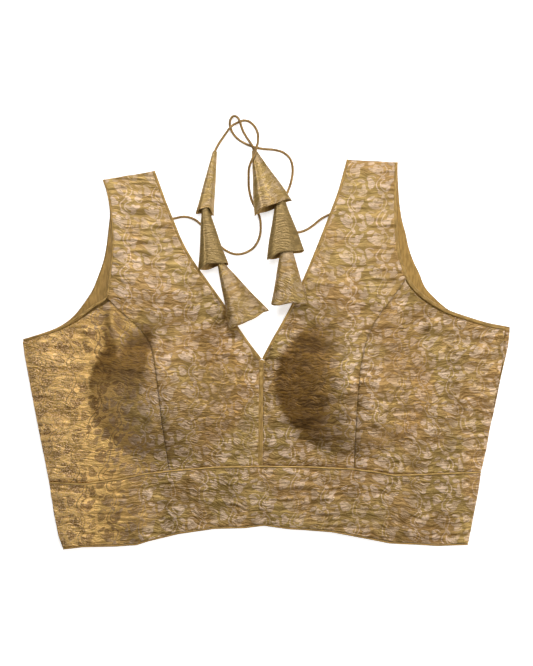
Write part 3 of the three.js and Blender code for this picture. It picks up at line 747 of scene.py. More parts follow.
    def lay(self, plan: np.ndarray, off: float | np.ndarray = 0.0) -> np.ndarray:
        """Lays places in plan on the front.

        Args:
            plan: The places, one row of X and Y each.
            off: How far off the wall's middle they stand, along its normal.

        Returns:
            The places with their heights.
        """
        x, y = plan[:, 0], plan[:, 1]
        normal = np.stack(
            [-self.read(self.slope_x, x, y), -self.read(self.slope_y, x, y), np.ones_like(x)], 1
        )
        normal /= np.linalg.norm(normal, axis=1, keepdims=True)
        place = np.stack([x, y, self.read(self.height, x, y)], axis=1)
        reach = np.broadcast_to(np.asarray(off, dtype=float), x.shape)[:, None]
        return place + normal * reach

    def grain(self, plan: np.ndarray) -> np.ndarray:
        """Where some places lie on the woven cloth, in metres, before it was moulded."""
        x, y = plan[:, 0], plan[:, 1]
        return MM * np.stack([self.read(self.grain_x, x, y), self.read(self.grain_y, x, y)], 1)


def within(
    left: Callable[[np.ndarray], np.ndarray],
    right: Callable[[np.ndarray], np.ndarray],
    top: Callable[[np.ndarray], np.ndarray],
    foot: Callable[[np.ndarray], np.ndarray],
    u: np.ndarray,
    v: np.ndarray,
) -> np.ndarray:
    """Places inside four edges, each given from 0 to 1, the left and right kept exactly.

    Args:
        left: The left edge, from the top down.
        right: The right edge, from the top down.
        top: The top edge, from left to right.
        foot: The foot edge, from left to right.
        u: Shares from left to right.
        v: Shares from the top down.

    Returns:
        One place in plan for each pair of shares.
    """
    su, sv = u[:, None], v[:, None]
    zero, one = np.zeros(1), np.ones(1)
    sides = left(v) * (1 - su) + right(v) * su
    ends = top(u) * (1 - sv) + foot(u) * sv
    corners = (top(zero) * (1 - sv) + foot(zero) * sv) * (1 - su)
    corners = corners + (top(one) * (1 - sv) + foot(one) * sv) * su
    return sides + ends - corners


# ------------------------------------------------------------------ finishes


class Board:
    """A node tree being wired, with short calls for the nodes that the finishes share."""

    def __init__(self, tree: bpy.types.NodeTree) -> None:
        """Starts on a tree.

        Args:
            tree: The tree to add nodes to.
        """
        self.tree = tree

    def add(self, kind: str, values: dict | None = None, **settings: object) -> bpy.types.Node:
        """Adds a node.

        Args:
            kind: The node's type, without its ShaderNode prefix.
            values: What goes in each input: a socket is linked, anything else is set.
            **settings: The node's own settings.

        Returns:
            The node.
        """
        node = self.tree.nodes.new("ShaderNode" + kind)
        for name, value in settings.items():
            setattr(node, name, value)
        for name, value in (values or {}).items():
            if isinstance(value, bpy.types.NodeSocket):
                self.tree.links.new(value, node.inputs[name])
            else:
                node.inputs[name].default_value = value
        return node

    def math(self, operation: str, *values: object, clamp: bool = False) -> bpy.types.NodeSocket:
        """A sum on numbers, and its result."""
        node = self.add("Math", dict(enumerate(values)), operation=operation, use_clamp=clamp)
        return node.outputs[0]

    def vector(self, operation: str, *values: object, out: str = "Vector") -> bpy.types.NodeSocket:
        """A sum on vectors, and its result."""
        values_in = dict(enumerate(values))
        node = self.add("VectorMath", values_in, operation=operation)
        return node.outputs[out]

    def noise(
        self, vector: object, scale: float, detail: float = 2.0, rough: float = 0.5, out: str = "Fac"
    ) -> bpy.types.NodeSocket:
        """A soft random field over a vector, and its result."""
        values = {"Vector": vector, "Scale": scale, "Detail": detail, "Roughness": rough}
        return self.add("TexNoise", values).outputs[out]

    def span(
        self, value: object, low: float, high: float, to_low: float = 0.0, to_high: float = 1.0
    ) -> bpy.types.NodeSocket:
        """A number eased from one range to another, and its result."""
        values = {0: value, 1: low, 2: high, 3: to_low, 4: to_high}
        return self.add("MapRange", values, interpolation_type="SMOOTHSTEP").outputs[0]

    def blend(self, factor: object, a: object, b: object, mode: str = "MIX") -> bpy.types.NodeSocket:
        """Two colours mixed, and the result."""
        node = self.add("Mix", None, data_type="RGBA", blend_type=mode)
        for slot, value in ((0, factor), (6, a), (7, b)):
            if isinstance(value, bpy.types.NodeSocket):
                self.tree.links.new(value, node.inputs[slot])
            else:
                node.inputs[slot].default_value = value
        return node.outputs[2]


def tone(red: float, green: float, blue: float) -> tuple[float, float, float, float]:
    """A colour from its usual screen values, as the light that it stands for."""
    return (*(((v + 0.055) / 1.055) ** 2.4 if v > 0.04 else v / 12.92 for v in (red, green, blue)), 1.0)


class Leaf(NamedTuple):
    """One leaf or petal of the woven vine: its middle, half its size, and its turn."""

    x: float
    y: float
    long: float
    wide: float
    turn: float


class Scroll(NamedTuple):
    """One curl of the woven vine: its middle, its reach, half its width, and where it opens."""

    x: float
    y: float
    reach: float
    thick: float
    opens: float


class Vine:
    """A leafy scroll, charted for one repeat, that a weaver would set on the loom."""

    WIDTH = 30.0
    HEIGHT = 34.0
    LEAVES: ClassVar[tuple[Leaf, ...]] = (
        Leaf(-6.4, 10.2, 4.6, 2.3, 80),
        Leaf(-2.8, 8.6, 4.4, 2.1, 25),
        Leaf(-9.4, 7.8, 4.0, 1.9, 140),
        Leaf(-5.4, 5.2, 4.0, 2.3, -30),
        Leaf(6.8, -8.6, 4.7, 2.3, 105),
        Leaf(3.6, -9.4, 4.2, 2.1, 160),
        Leaf(9.4, -6.0, 4.0, 1.9, 40),
        Leaf(6.6, -12.6, 4.0, 2.0, 60),
        Leaf(11.2, 3.2, 4.2, 2.0, 30),
        Leaf(11.8, 7.0, 3.9, 1.8, 85),
        Leaf(8.2, 5.8, 2.8, 1.5, 140),
        Leaf(-11.4, -3.4, 4.3, 2.0, 150),
        Leaf(-12.2, -7.0, 3.9, 1.8, 95),
        Leaf(-8.6, -7.2, 3.4, 1.7, 50),
        Leaf(9.8, 14.0, 3.8, 1.8, -20),
        Leaf(-10.6, 15.0, 3.6, 1.7, 200),
        Leaf(1.0, 15.0, 3.0, 1.5, 70),
        Leaf(-1.4, -15.2, 3.6, 1.7, 150),
        Leaf(1.8, 0.0, 3.2, 1.6, 130),
    )
    SCROLLS: ClassVar[tuple[Scroll, ...]] = (
        Scroll(-5.6, 7.4, 6.2, 0.5, 200),
        Scroll(5.8, -8.8, 6.4, 0.5, 20),
        Scroll(10.6, 5.4, 5.6, 0.4, 130),
        Scroll(-10.4, -5.0, 5.6, 0.4, 300),
    )

    @classmethod
    def woven(cls) -> bpy.types.NodeTree:
        """The repeat as a node group, made once.

        Returns:
            A group that takes a place on the cloth in millimetres, and gives 1 on the vine.
        """
        known = bpy.data.node_groups.get("woven_vine")
        if known:
            return known
        tree = bpy.data.node_groups.new("woven_vine", "ShaderNodeTree")
        tree.interface.new_socket("Place", in_out="INPUT", socket_type="NodeSocketVector")
        tree.interface.new_socket("Vine", in_out="OUTPUT", socket_type="NodeSocketFloat")
        board = Board(tree)
        given = tree.nodes.new("NodeGroupInput").outputs[0]
        drift = board.vector("SUBTRACT", board.noise(given, 0.045, 1.0, out="Color"), (0.5, 0.5, 0.5))
        sway = board.vector("MULTIPLY", drift, (9, 9, 0))
        place = board.vector("ADD", given, sway)
        parts = board.add("SeparateXYZ", {0: place}).outputs
        column = board.math("FLOOR", board.math("DIVIDE", parts[0], cls.WIDTH))
        shift = board.math("MULTIPLY", board.math("PINGPONG", column, 1.0), cls.HEIGHT / 2)
        x = board.math("SUBTRACT", board.math("FLOORED_MODULO", parts[0], cls.WIDTH), cls.WIDTH / 2)
        y = board.math("FLOORED_MODULO", board.math("ADD", parts[1], shift), cls.HEIGHT)
        y = board.math("SUBTRACT", y, cls.HEIGHT / 2)
        tile = board.add("CombineXYZ", {0: x, 1: y}).outputs[0]
        wave = board.math("SINE", board.math("MULTIPLY", y, 2 * math.pi / cls.HEIGHT))
        stem = board.math("ABSOLUTE", board.math("SUBTRACT", x, board.math("MULTIPLY", wave, 4.6)))
        near = board.math("DIVIDE", stem, 0.6)
        for leaf in cls.LEAVES:
            mapped = board.add(
                "Mapping",
                {
                    "Vector": tile,
                    "Location": (leaf.x, leaf.y, 0),
                    "Rotation": (0, 0, math.radians(leaf.turn)),
                    "Scale": (leaf.long, leaf.wide, 1),
                },
                vector_type="TEXTURE",
            )
            near = board.math("MINIMUM", near, board.vector("LENGTH", mapped.outputs[0], out="Value"))
        for scroll in cls.SCROLLS:
            off = board.vector("DISTANCE", tile, (scroll.x, scroll.y, 0), out="Value")
            ring = board.math("ABSOLUTE", board.math("SUBTRACT", off, scroll.reach))
            away = (math.cos(math.radians(scroll.opens)), math.sin(math.radians(scroll.opens)), 0)
            centred = board.vector("SUBTRACT", tile, (scroll.x, scroll.y, 0))
            past = board.math("SUBTRACT", board.vector("DOT_PRODUCT", centred, away, out="Value"), -2.0)
            arc = board.math("MAXIMUM", board.math("DIVIDE", ring, scroll.thick), past)
            near = board.math("MINIMUM", near, arc)
        done = tree.nodes.new("NodeGroupOutput")
        tree.links.new(board.span(near, 1.15, 0.85), done.inputs[0])
        return tree


def new_material(name: str) -> tuple[bpy.types.Material, Board, bpy.types.Node]:
    """An empty material with its shader.

    Args:
        name: The material's name.

    Returns:
        The material, its board, and its Principled shader.
    """
    material = bpy.data.materials.new(name)
    material.use_nodes = True
    board = Board(material.node_tree)
    return material, board, material.node_tree.nodes["Principled BSDF"]


@dataclass(frozen=True)
class BrocadeFinish:
    """Metal-thread brocade: a silvery vine on old gold, crinkled across the cloth."""

    name: str
    turn: float = 0.0
    shift: tuple[float, float] = (0.0, 0.0)
    ridged: bool = True
    figure: float = 0.95
    # How far the colour is dimmed toward dark olive on pieces without ridge marks: painted shade.
    depth: float = 0.0
    relief: float = 0.72

    def make(self) -> bpy.types.Material:
        """The material."""
        material, board, shader = new_material(self.name)
        place = self._place(board)
        across = board.add("SeparateXYZ", {0: board.add("TexCoord", None).outputs["Object"]}).outputs
        # Above the bust the crinkle is calmer: less relief, with its painted highlight and shade evened toward the
        # lighter side.
        calm = board.span(across[1], 0.03, 0.1, 1.0, 0.55)
        crinkle = self._crinkle(board, place)
        eased = board.math("ADD", board.math("MULTIPLY", board.math("SUBTRACT", crinkle, 0.8), calm), 0.8)
        vine = self._vine(board, place)
        colour = self._colours(board, place, eased, vine, across)
        board.tree.links.new(colour, shader.inputs["Base Color"])
        rough = board.span(vine, 0.0, 1.0, 0.42, 0.56)
        board.tree.links.new(rough, shader.inputs["Roughness"])
        shader.inputs["Metallic"].default_value = 0.5
        grit = board.noise(place, 1.1, 2.0, 0.7)
        relief = board.math("ADD", crinkle, board.math("MULTIPLY", vine, 0.12))
        relief = board.math("ADD", relief, board.math("MULTIPLY", grit, 0.3))
        strength = board.math("MULTIPLY", calm, self.relief)
        bump = board.add("Bump", {"Height": relief, "Strength": strength, "Distance": 0.0012})
        board.tree.links.new(bump.outputs[0], shader.inputs["Normal"])
        return material

    def _place(self, board: Board) -> bpy.types.NodeSocket:
        """Places on the woven cloth in millimetres, turned and moved as the piece was cut."""
        uv = board.add("UVMap", None, uv_map="Cloth").outputs[0]
        moved = {"Location": (*self.shift, 0), "Rotation": (0, 0, math.radians(self.turn))}
        return board.add("Mapping", {"Vector": uv, "Scale": (1000, 1000, 1000), **moved}).outputs[0]

    def _crinkle(self, board: Board, place: bpy.types.NodeSocket) -> bpy.types.NodeSocket:
        """The crinkle, from 0 in its valleys to 1 on its ridges."""
        drift = board.noise(place, 0.06, 1.0, out="Color")
        bent = board.vector("ADD", place, board.vector("MULTIPLY", drift, (0, 11, 0)))
        fine = board.noise(board.vector("MULTIPLY", bent, (0.12, 0.62, 1)), 1.0, 2.0, 0.55)
        broad = board.noise(board.vector("MULTIPLY", bent, (0.06, 0.25, 1)), 1.0, 1.5)
        if self.ridged:
            broad = board.add("Attribute", None, attribute_name="ridge").outputs["Fac"]
        mixed = board.math("ADD", board.math("MULTIPLY", fine, 0.8), board.math("MULTIPLY", broad, 0.2))
        lines = board.noise(board.vector("MULTIPLY", bent, (0.085, 0.33, 1)), 1.0, 1.0, 0.4)
        pressed = board.math("ABSOLUTE", board.math("SUBTRACT", lines, 0.5))
        sharp = board.span(pressed, 0.0, 0.04, 0.45, 1.0)
        return board.math("MULTIPLY", board.span(mixed, 0.3, 0.66), sharp)

    def _vine(self, board: Board, place: bpy.types.NodeSocket) -> bpy.types.NodeSocket:
        """How much of the figure shows: it comes and goes as the threads catch the light."""
        group = board.add("Group", None)
        group.node_tree = Vine.woven()
        board.tree.links.new(place, group.inputs[0])
        ragged = board.noise(board.vector("MULTIPLY", place, (0.3, 1.2, 1)), 1.0, 2.0)
        whole = board.math("MULTIPLY", group.outputs[0], board.span(ragged, 0.3, 0.52, 0.4, 1.0))
        clear = board.span(board.noise(place, 0.03, 1.0), 0.3, 0.6, 0.45, 1.0)
        return board.math("MULTIPLY", whole, board.math("MULTIPLY", clear, self.figure))

    def _colours(
        self,
        board: Board,
        place: bpy.types.NodeSocket,
        crinkle: bpy.types.NodeSocket,
        vine: bpy.types.NodeSocket,
        across: bpy.types.NodeOutputs,
    ) -> bpy.types.NodeSocket:
        """The cloth's colour: gold ground, silvery figure, painted sheen turning it amber towards one side, painted
        highlight and shade on the crinkle, painted glints, and painted shade where it leans, in a patch and along the
        seams.

        Args:
            board: Where the nodes go.
            place: Places on the woven cloth.
            crinkle: The crinkle, 0 to 1, painted lighter on its ridges as highlight and darker in its valleys as
                shade.
            vine: How much of the figure shows.
            across: Where each place lies on the blouse.

        Returns:
            The colour.
        """
        hue = board.span(board.noise(place, 0.022, 2.0), 0.38, 0.62)
        # Painted highlight on the crinkle's ridges and painted shade in its valleys: each colour runs from a dark one
        # to a light one with the crinkle.
        low = board.blend(hue, tone(0.46, 0.36, 0.16), tone(0.48, 0.35, 0.16))
        high = board.blend(hue, tone(0.71, 0.59, 0.34), tone(0.74, 0.59, 0.36))
        ground = board.blend(crinkle, low, high)
        figure = board.blend(crinkle, tone(0.58, 0.47, 0.32), tone(0.90, 0.79, 0.68))
        silver = board.blend(vine, ground, figure)
        # Painted sheen: toward the left and low down, the ground is painted as lit amber satin and the figure as
        # darker brown, as the sheen turns.
        inner = board.span(across[0], -0.115, -0.075, 1.0, 0.0)
        even_sheen = board.math("MULTIPLY", board.span(across[0], -0.205, -0.165, 0.0, 0.7), inner)
        even_sheen_pull = board.math("MULTIPLY", even_sheen, board.math("SUBTRACT", 0.7, crinkle))
        crinkle_under_sheen = board.math("ADD", crinkle, even_sheen_pull)
        amber = board.blend(crinkle_under_sheen, tone(0.69, 0.53, 0.25), tone(0.98, 0.80, 0.48))
        brown = board.blend(crinkle_under_sheen, tone(0.45, 0.33, 0.15), tone(0.67, 0.51, 0.28))
        firm = board.math("MULTIPLY", vine, board.math("ADD", 1.0, even_sheen), clamp=True)
        inverse = board.blend(firm, amber, brown)
        # Painted glints: small bright specks of metal thread, thickest toward the left edge.
        edge = board.span(across[0], -0.21, -0.15, 0.9, 0.1)
        painted_glints = board.math("MULTIPLY", board.span(board.noise(place, 0.7, 2.0, 0.7), 0.5, 0.62), edge)
        inverse = board.blend(painted_glints, inverse, tone(0.97, 0.82, 0.64))
        patch = board.math("MULTIPLY", board.noise(place, 0.05, 3.0, 0.7), 0.13)
        side = board.span(board.math("ADD", across[0], patch), -0.11, -0.035, 0.95, 0.0)
        low_down = board.span(across[1], 0.02, 0.06, 1.0, 0.0)
        turned_sheen_colour = board.blend(board.math("MULTIPLY", side, low_down), silver, inverse)
        # Painted shade where the cloth leans aside and in the left cup's patch, blended toward brown shaded colours.
        lean = board.math("MULTIPLY", board.add("Attribute", None, attribute_name="lean").outputs["Fac"], 0.88)
        shaded = board.blend(crinkle, tone(0.33, 0.22, 0.07), tone(0.60, 0.44, 0.18))
        # Painted shade along the princess seams' valleys, a dark brown.
        seam = board.math("MULTIPLY", board.add("Attribute", None, attribute_name="seam").outputs["Fac"], 0.6)
        # Pieces without ridge marks are dimmed toward dark olive by depth: painted shade.
        if not self.ridged:
            dimmed_colour = board.blend(crinkle, tone(0.36, 0.29, 0.15), tone(0.58, 0.48, 0.28))
            return board.blend(self.depth, turned_sheen_colour, dimmed_colour)
        return board.blend(seam, board.blend(lean, turned_sheen_colour, shaded), tone(0.22, 0.16, 0.06))


@dataclass(frozen=True)
class PlainFinish:
    """Plain satin: lining, binding, piping and the cloth round the cords."""

    name: str
    colour: tuple[float, float, float]
    shade: tuple[float, float, float]
    rough: float = 0.5
    metal: float = 0.2
    thread: float = 0.6

    def make(self) -> bpy.types.Material:
        """The material."""
        material, board, shader = new_material(self.name)
        uv = board.add("UVMap", None, uv_map="Cloth").outputs[0]
        place = board.vector("MULTIPLY", uv, (1000, 1000, 1000))
        patch = board.noise(board.vector("MULTIPLY", place, (0.5, 0.12, 1)), 1.0, 3.0)
        colour = board.blend(board.span(patch, 0.35, 0.65), tone(*self.shade), tone(*self.colour))
        board.tree.links.new(colour, shader.inputs["Base Color"])
        board.tree.links.new(board.span(patch, 0.3, 0.7, self.rough + 0.08, self.rough), shader.inputs["Roughness"])
        shader.inputs["Metallic"].default_value = self.metal
        shader.inputs["Sheen Weight"].default_value = 0.15
        wave = {"Vector": place, "Scale": self.thread, "Distortion": 0.8}
        weave = board.add("TexWave", wave, bands_direction="DIAGONAL").outputs["Fac"]
        relief = board.math("ADD", board.math("MULTIPLY", weave, 0.15), patch)
        bump = board.add("Bump", {"Height": relief, "Strength": 0.4, "Distance": 0.0006})
        board.tree.links.new(bump.outputs[0], shader.inputs["Normal"])
        return material


# ------------------------------------------------------------------ cutting and sewing


@dataclass
class Cut:
    """One piece of cloth on its way to being a mesh."""

    name: str
    cells: tuple[int, int]
    place: Callable[[np.ndarray, np.ndarray], np.ndarray]
    grain: Callable[[np.ndarray, np.ndarray], np.ndarray]
    tube: bool = False
    marks: Callable[[np.ndarray, np.ndarray], dict[str, np.ndarray]] | None = None

    def make(self) -> bpy.types.Object:
        """Cuts the piece from a plain grid, and lays each of its places where it belongs.

        Returns:
            The piece, with its grain in the UV map Cloth.
        """
        shape = bmesh.new()
        bmesh.ops.create_grid(shape, x_segments=self.cells[0], y_segments=self.cells[1], size=0.5)
        shape.verts.ensure_lookup_table()
        flat = np.array([v.co[:2] for v in shape.verts])
        u, v = flat[:, 0] + 0.5, 0.5 - flat[:, 1]
        for vert, place in zip(shape.verts, self.place(u, v) * MM):
            vert.co = place
        grain = self.grain(u, v)
        layer = shape.loops.layers.uv.new("Cloth")
        for face in shape.faces:
            face.smooth = True
            for loop in face.loops:
                loop[layer].uv = grain[loop.vert.index]
        if self.tube:
            bmesh.ops.remove_doubles(shape, verts=shape.verts, dist=1e-6)
            bmesh.ops.holes_fill(shape, edges=[e for e in shape.edges if e.is_boundary], sides=0)
            bmesh.ops.recalc_face_normals(shape, faces=shape.faces)
        elif sum(face.normal.z for face in shape.faces) < 0:
            bmesh.ops.reverse_faces(shape, faces=shape.faces)
        mesh = bpy.data.meshes.new(self.name)
        shape.to_mesh(mesh)
        shape.free()
        if self.marks:
            for mark, values in self.marks(u, v).items():
                mesh.attributes.new(mark, "FLOAT", "POINT").data.foreach_set("value", values)
        piece = bpy.data.objects.new(self.name, mesh)
        bpy.context.scene.collection.objects.link(piece)
        return piece


class Role(Enum):
    """What a piece is made of, by the record's material slots."""

    BROCADE = "brocade"
    LINING = "plain_lining"
    BINDING = "binding"
    WAIST = "waist_piping"


def sew(
    piece: bpy.types.Object, nodes: Sequence[str], role: Role, *materials: bpy.types.Material
) -> bpy.types.Object:
    """Dresses a piece and puts it in the place of its solids.

    Args:
        piece: The piece.
        nodes: The solids that it stands for.
        role: The record's slot that its finish belongs to.
        *materials: Its materials, the outer face's first.

    Returns:
        The piece.
    """
    for material in materials:
        piece.data.materials.append(material)
    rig.ride(piece, "root")
    if nodes:
        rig.replaces(piece, *nodes)
    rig.slot(piece, role.value)
    LOG.info("%s: %d faces", piece.name, len(piece.data.polygons))
    return piece


def thicken(piece: bpy.types.Object, wall: float, backed: bool = False) -> None:
    """Gives a sheet its wall, half to each side.

    Args:
        piece: The sheet.
        wall: The wall's thickness.
        backed: Whether its inner face and rim take the second material.
    """
    solid = piece.modifiers.new("wall", "SOLIDIFY")
    solid.thickness = wall * MM
    solid.offset = 0.0
    solid.use_even_offset = False
    if backed:
        solid.material_offset = 1
        solid.material_offset_rim = 0


def flat_cut(piece: bpy.types.Object) -> tuple[tuple[float, float], float]:
    """The size that a sheet was cut to, measured along its own cloth.

    Args:
        piece: The sheet, before it gets its wall.

    Returns:
        The width and length of its smallest upright rectangle in metres, and its area.
    """
    mesh = piece.data
    area = sum(face.area for face in mesh.polygons)
    layer = np.empty(len(mesh.loops) * 2)
    mesh.uv_layers["Cloth"].data.foreach_get("uv", layer)
    reach = np.ptp(layer.reshape(-1, 2), axis=0)
    size = (float(reach[0]) + 0.001, float(reach[1]) + 0.001)
    return size, float(min(area, size[0] * size[1]))


def declare(
    piece: bpy.types.Object,
    rests_on: Sequence[str],
    trims: Sequence[bpy.types.Object] = (),
    held: str = "laid",
) -> None:
    """States a sheet's cut, what it lies on, and what is sewn to it.

    Args:
        piece: The sheet.
        rests_on: The nodes or pieces that it lies on.
        trims: The narrow pieces sewn to it.
        held: How it lies.
    """
    size, area = flat_cut(piece)
    area = max(area, 0.31 * size[0] * size[1])
    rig.sheet(piece, flat=size, held=held, rests_on=list(rests_on), area=area, with_pieces=list(trims))


class Pattern:
    """The edges that neighbouring pieces share, for one side of the front."""

    def __init__(self, side: Side) -> None:
        """Draws one side's edges.

        Args:
            side: Which side of the blouse.
        """
        table = CENTRE_PANEL[side]
        self.side = side
        self.point = NECK_POINT[side]
        self.neck = PlanLine([(row.neck_x, row.neck_y) for row in table], [self.point])
        self.outer = PlanLine([(row.arm_x, row.arm_y) for row in table], [SEAM_START])
        upper = [Point(row.arm_x, row.arm_y) for row in table[:SEAM_START]]
        self.armhole = PlanLine([*upper, *LOWER_ARMHOLE[side]])

    def neck_edge(self, v: np.ndarray) -> np.ndarray:
        """The centre panel's edge inside the neck binding, then beside the centre strip."""
        row = v * self.neck.last
        inset = np.where(row < self.point + 0.01, BINDING - TUCK, STRIP / 2 - TUCK)
        return self.neck.aside(row, -self.side.inward * inset)

    def outer_edge(self, v: np.ndarray) -> np.ndarray:
        """The centre panel's edge inside the armhole binding, then beside its seam."""
        row = v * self.outer.last
        upper = self.armhole.aside(row, self.side.inward * (self.side.arm_binding - TUCK))
        lower = self.outer.aside(row, self.side.inward * GAP / 2)
        return np.where((row < SEAM_START + 0.01)[:, None], upper, lower)

    def seam_edge(self, v: np.ndarray) -> np.ndarray:
        """The side panel's edge beside the princess seam."""
        row = SEAM_START + v * (self.outer.last - SEAM_START)
        return self.outer.aside(np.maximum(row, SEAM_START + 0.22), -self.side.inward * GAP / 2)

    def under_arm(self, u: np.ndarray) -> np.ndarray:
        """The side panel's top edge, from left to right."""
        out = 1 - u if self.side is Side.LEFT else u
        row = SEAM_START + out * (self.armhole.last - SEAM_START)
        return self.armhole.aside(row, self.side.inward * (self.side.arm_binding - TUCK))


def waist_edge(left: np.ndarray, right: np.ndarray, ease: float) -> Callable[[np.ndarray], np.ndarray]:
    """The waist line between two of its places, moved up or down.

    Args:
        left: Where it starts.
        right: Where it ends.
        ease: How far above the line it runs.

    Returns:
        The edge, from left to right.
    """

    def edge(u: np.ndarray) -> np.ndarray:
        """The edge's places at some shares."""
        x = left[0] * (1 - u) + right[0] * u
        return np.stack([x, read_off(WAIST, x) + ease], axis=1)

    return edge


@dataclass
class Front:
    """The front: two panels a side, the centre strip, the band, and their trimmings."""

    field: ClothField
    shell: dict[Side, bpy.types.Material]
    side_shell: dict[Side, bpy.types.Material]
    band_shell: bpy.types.Material
    satin: bpy.types.Material
    piping: bpy.types.Material
    lining: bpy.types.Material
    cell: float = 1.15

    def _sheet(
        self,
        name: str,
        edges: tuple[Callable[[np.ndarray], np.ndarray], ...],
        size: tuple[float, float],
        material: bpy.types.Material,
        turn: float = 0.0,
        role: Role = Role.BROCADE,
    ) -> bpy.types.Object:
        """Cuts a panel between four edges and gives it its wall.

        Args:
            name: The panel's name, which is its solid's.
            edges: Its left, right, top and foot edges.
            size: About how wide and long it is.
            material: Its outer face.
            turn: How far its grain is turned, in degrees.
            role: The record's slot.

        Returns:
            The panel.
        """
        c, s = math.cos(math.radians(turn)), math.sin(math.radians(turn))

        def plan(u: np.ndarray, v: np.ndarray) -> np.ndarray:
            """The panel's places in plan."""
            return within(*edges, u, v)

        def grain(u: np.ndarray, v: np.ndarray) -> np.ndarray:
            """The panel's places on the woven cloth."""
            return self.field.grain(plan(u, v)) @ np.array([[c, s], [-s, c]])

        cells = (max(2, round(size[0] / self.cell)), round(size[1] / self.cell))

        def marks(u: np.ndarray, v: np.ndarray) -> dict[str, np.ndarray]:
            """How each place lies on the crinkle, how it leans, and how near a seam it is, which the brocade's painted
            highlight and shade follow.
            """
            x, y = plan(u, v).T
            maps = {"ridge": self.field.ridge, "lean": self.field.lean, "seam": self.field.seam}
            return {mark: self.field.read(grid, x, y) for mark, grid in maps.items()}

        lay = self.field.lay
        piece = Cut(f"{name}_cloth", cells, lambda u, v: lay(plan(u, v)), grain, marks=marks).make()
        sew(piece, [name], role, material, self.lining)
        thicken(piece, CLOTH, backed=True)
        return piece

    def panels(self, pattern: Pattern, trims: list[bpy.types.Object]) -> None:
        """One side's centre panel and side panel.

        Args:
            pattern: The side's edges.
            trims: What is sewn to the centre panel.
        """
        side = pattern.side
        edges = (pattern.outer_edge, pattern.neck_edge)
        left, right = edges if side is Side.LEFT else edges[::-1]
        one, zero = np.ones(1), np.zeros(1)
        foot = waist_edge(left(one)[0], right(one)[0], 0.3)
        corners = left(zero), right(zero)

        def top(u: np.ndarray) -> np.ndarray:
            """The shoulder edge."""
            return corners[0] * (1 - u[:, None]) + corners[1] * u[:, None]

        name = f"front_centre_{side.value}"
        centre = self._sheet(name, (left, right, top, foot), (84, 310), self.shell[side])
        declare(centre, ["back_lining"], trims)
        seam = SIDE_SEAM[side]
        foot_x = float(side_x(seam, np.array([-120.0]))[0])
        high = LOWER_ARMHOLE[side][-1].y - side.arm_binding - GAP
        low = float(read_off(WAIST, np.array([foot_x]))[0]) + 0.3

        def side_edge(v: np.ndarray) -> np.ndarray:
            """The side seam's edge."""
            y = high * (1 - v) + low * v
            return np.stack([side_x(seam, y), y], axis=1)

        edges = (side_edge, pattern.seam_edge)
        left, right = edges if side is Side.LEFT else edges[::-1]
        foot = waist_edge(left(one)[0], right(one)[0], 0.3)
        turn = 7.0 * side.inward
        shape = (left, right, pattern.under_arm, foot)
        under = self._sheet(f"front_side_{side.value}", shape, (115, 165), self.side_shell[side], turn)
        declare(under, ["back_lining"])

    def strip(self, pattern: Pattern) -> bpy.types.Object:
        """The plain strip down the centre front; the bar across its top is made by bar_tack."""
        line, point = pattern.neck, pattern.point

        def plan(u: np.ndarray, v: np.ndarray) -> np.ndarray:
            """The strip's places in plan."""
            row = point + 0.02 + v * (line.last - point - 0.02)
            place = line.aside(row, (u - 0.5) * STRIP)
            lead = np.clip(1 - v * 40, 0, 1)
            place[:, 1] -= lead * (0.2 + 1.9 * np.abs(2 * u - 1))
            foot = read_off(WAIST, place[:, 0]) + 0.5
            place[:, 1] = np.maximum(place[:, 1], foot)
            return place

        def lay(u: np.ndarray, v: np.ndarray) -> np.ndarray:
            """The strip, a little rounded, with a stitched line near its right edge."""
            crown = 0.35 * np.clip(1 - (2 * u - 1) ** 2, 0, 1)
            groove = -0.45 * np.exp(-(((u - 0.86) / 0.07) ** 2))
            return self.field.lay(plan(u, v), crown + groove)

        def grain(u: np.ndarray, v: np.ndarray) -> np.ndarray:
            """The strip's places on the woven cloth."""
            return self.field.grain(plan(u, v))

        piece = Cut("centre_front_strip_cloth", (14, 110), lay, grain).make()
        sew(piece, ["centre_front_strip"], Role.LINING, self.satin)
        thicken(piece, CLOTH)
        return piece

    def bar_tack(self) -> bpy.types.Object:
        """The bar of close stitches that holds the V's point."""
        stitches = 9

        def lay(u: np.ndarray, v: np.ndarray) -> np.ndarray:
            """The bar, with a small hump for each of its stitches."""
            turn = 2 * np.pi * u
            hump = 0.5 + 0.22 * np.abs(np.sin(np.pi * v * stitches))
            ends = np.sqrt(np.clip(1 - (2 * v - 1) ** 8, 0.02, 1))
            middle = np.stack([-4.4 + (v - 0.5) * 6.4, -6.7 + 0 * v + 1.5 * np.cos(turn)], axis=1)
            return self.field.lay(middle, CLOTH / 2 + 0.25 + hump * ends * np.sin(turn))

        def grain(u: np.ndarray, v: np.ndarray) -> np.ndarray:
            """The bar's places on its thread."""
            return MM * np.stack([u * 4, v * 7], axis=1)

        piece = Cut("neck_bar_tack", (12, 54), lay, grain, tube=True).make()
        return sew(piece, [], Role.BINDING, self.piping)

    def band(self, trims: list[bpy.types.Object]) -> None:
        """The band below the waist, between its two lines of piping."""

        def edge(side: Side) -> Callable[[np.ndarray], np.ndarray]:
            """The band's edge at one side."""
            seam = SIDE_SEAM[side]
            top_x = side_x(seam, np.array([-120.0]))
            foot_x = side_x(seam, np.array([-186.0]))
            top = read_off(WAIST, top_x) - PIPING - 0.4
            foot = read_off(HEM, foot_x) + PIPING + 0.4

            def places(v: np.ndarray) -> np.ndarray:
                """The edge's places from the top down."""
                y = top * (1 - v) + foot * v
                return np.stack([side_x(seam, y), y], axis=1)

            return places

        left, right = edge(Side.LEFT), edge(Side.RIGHT)

        def run(v: float, table: Sequence[Point], ease: float) -> Callable[[np.ndarray], np.ndarray]:
            """The band's top or foot edge."""
            at = np.array([v])
            low, high = left(at)[0, 0], right(at)[0, 0]

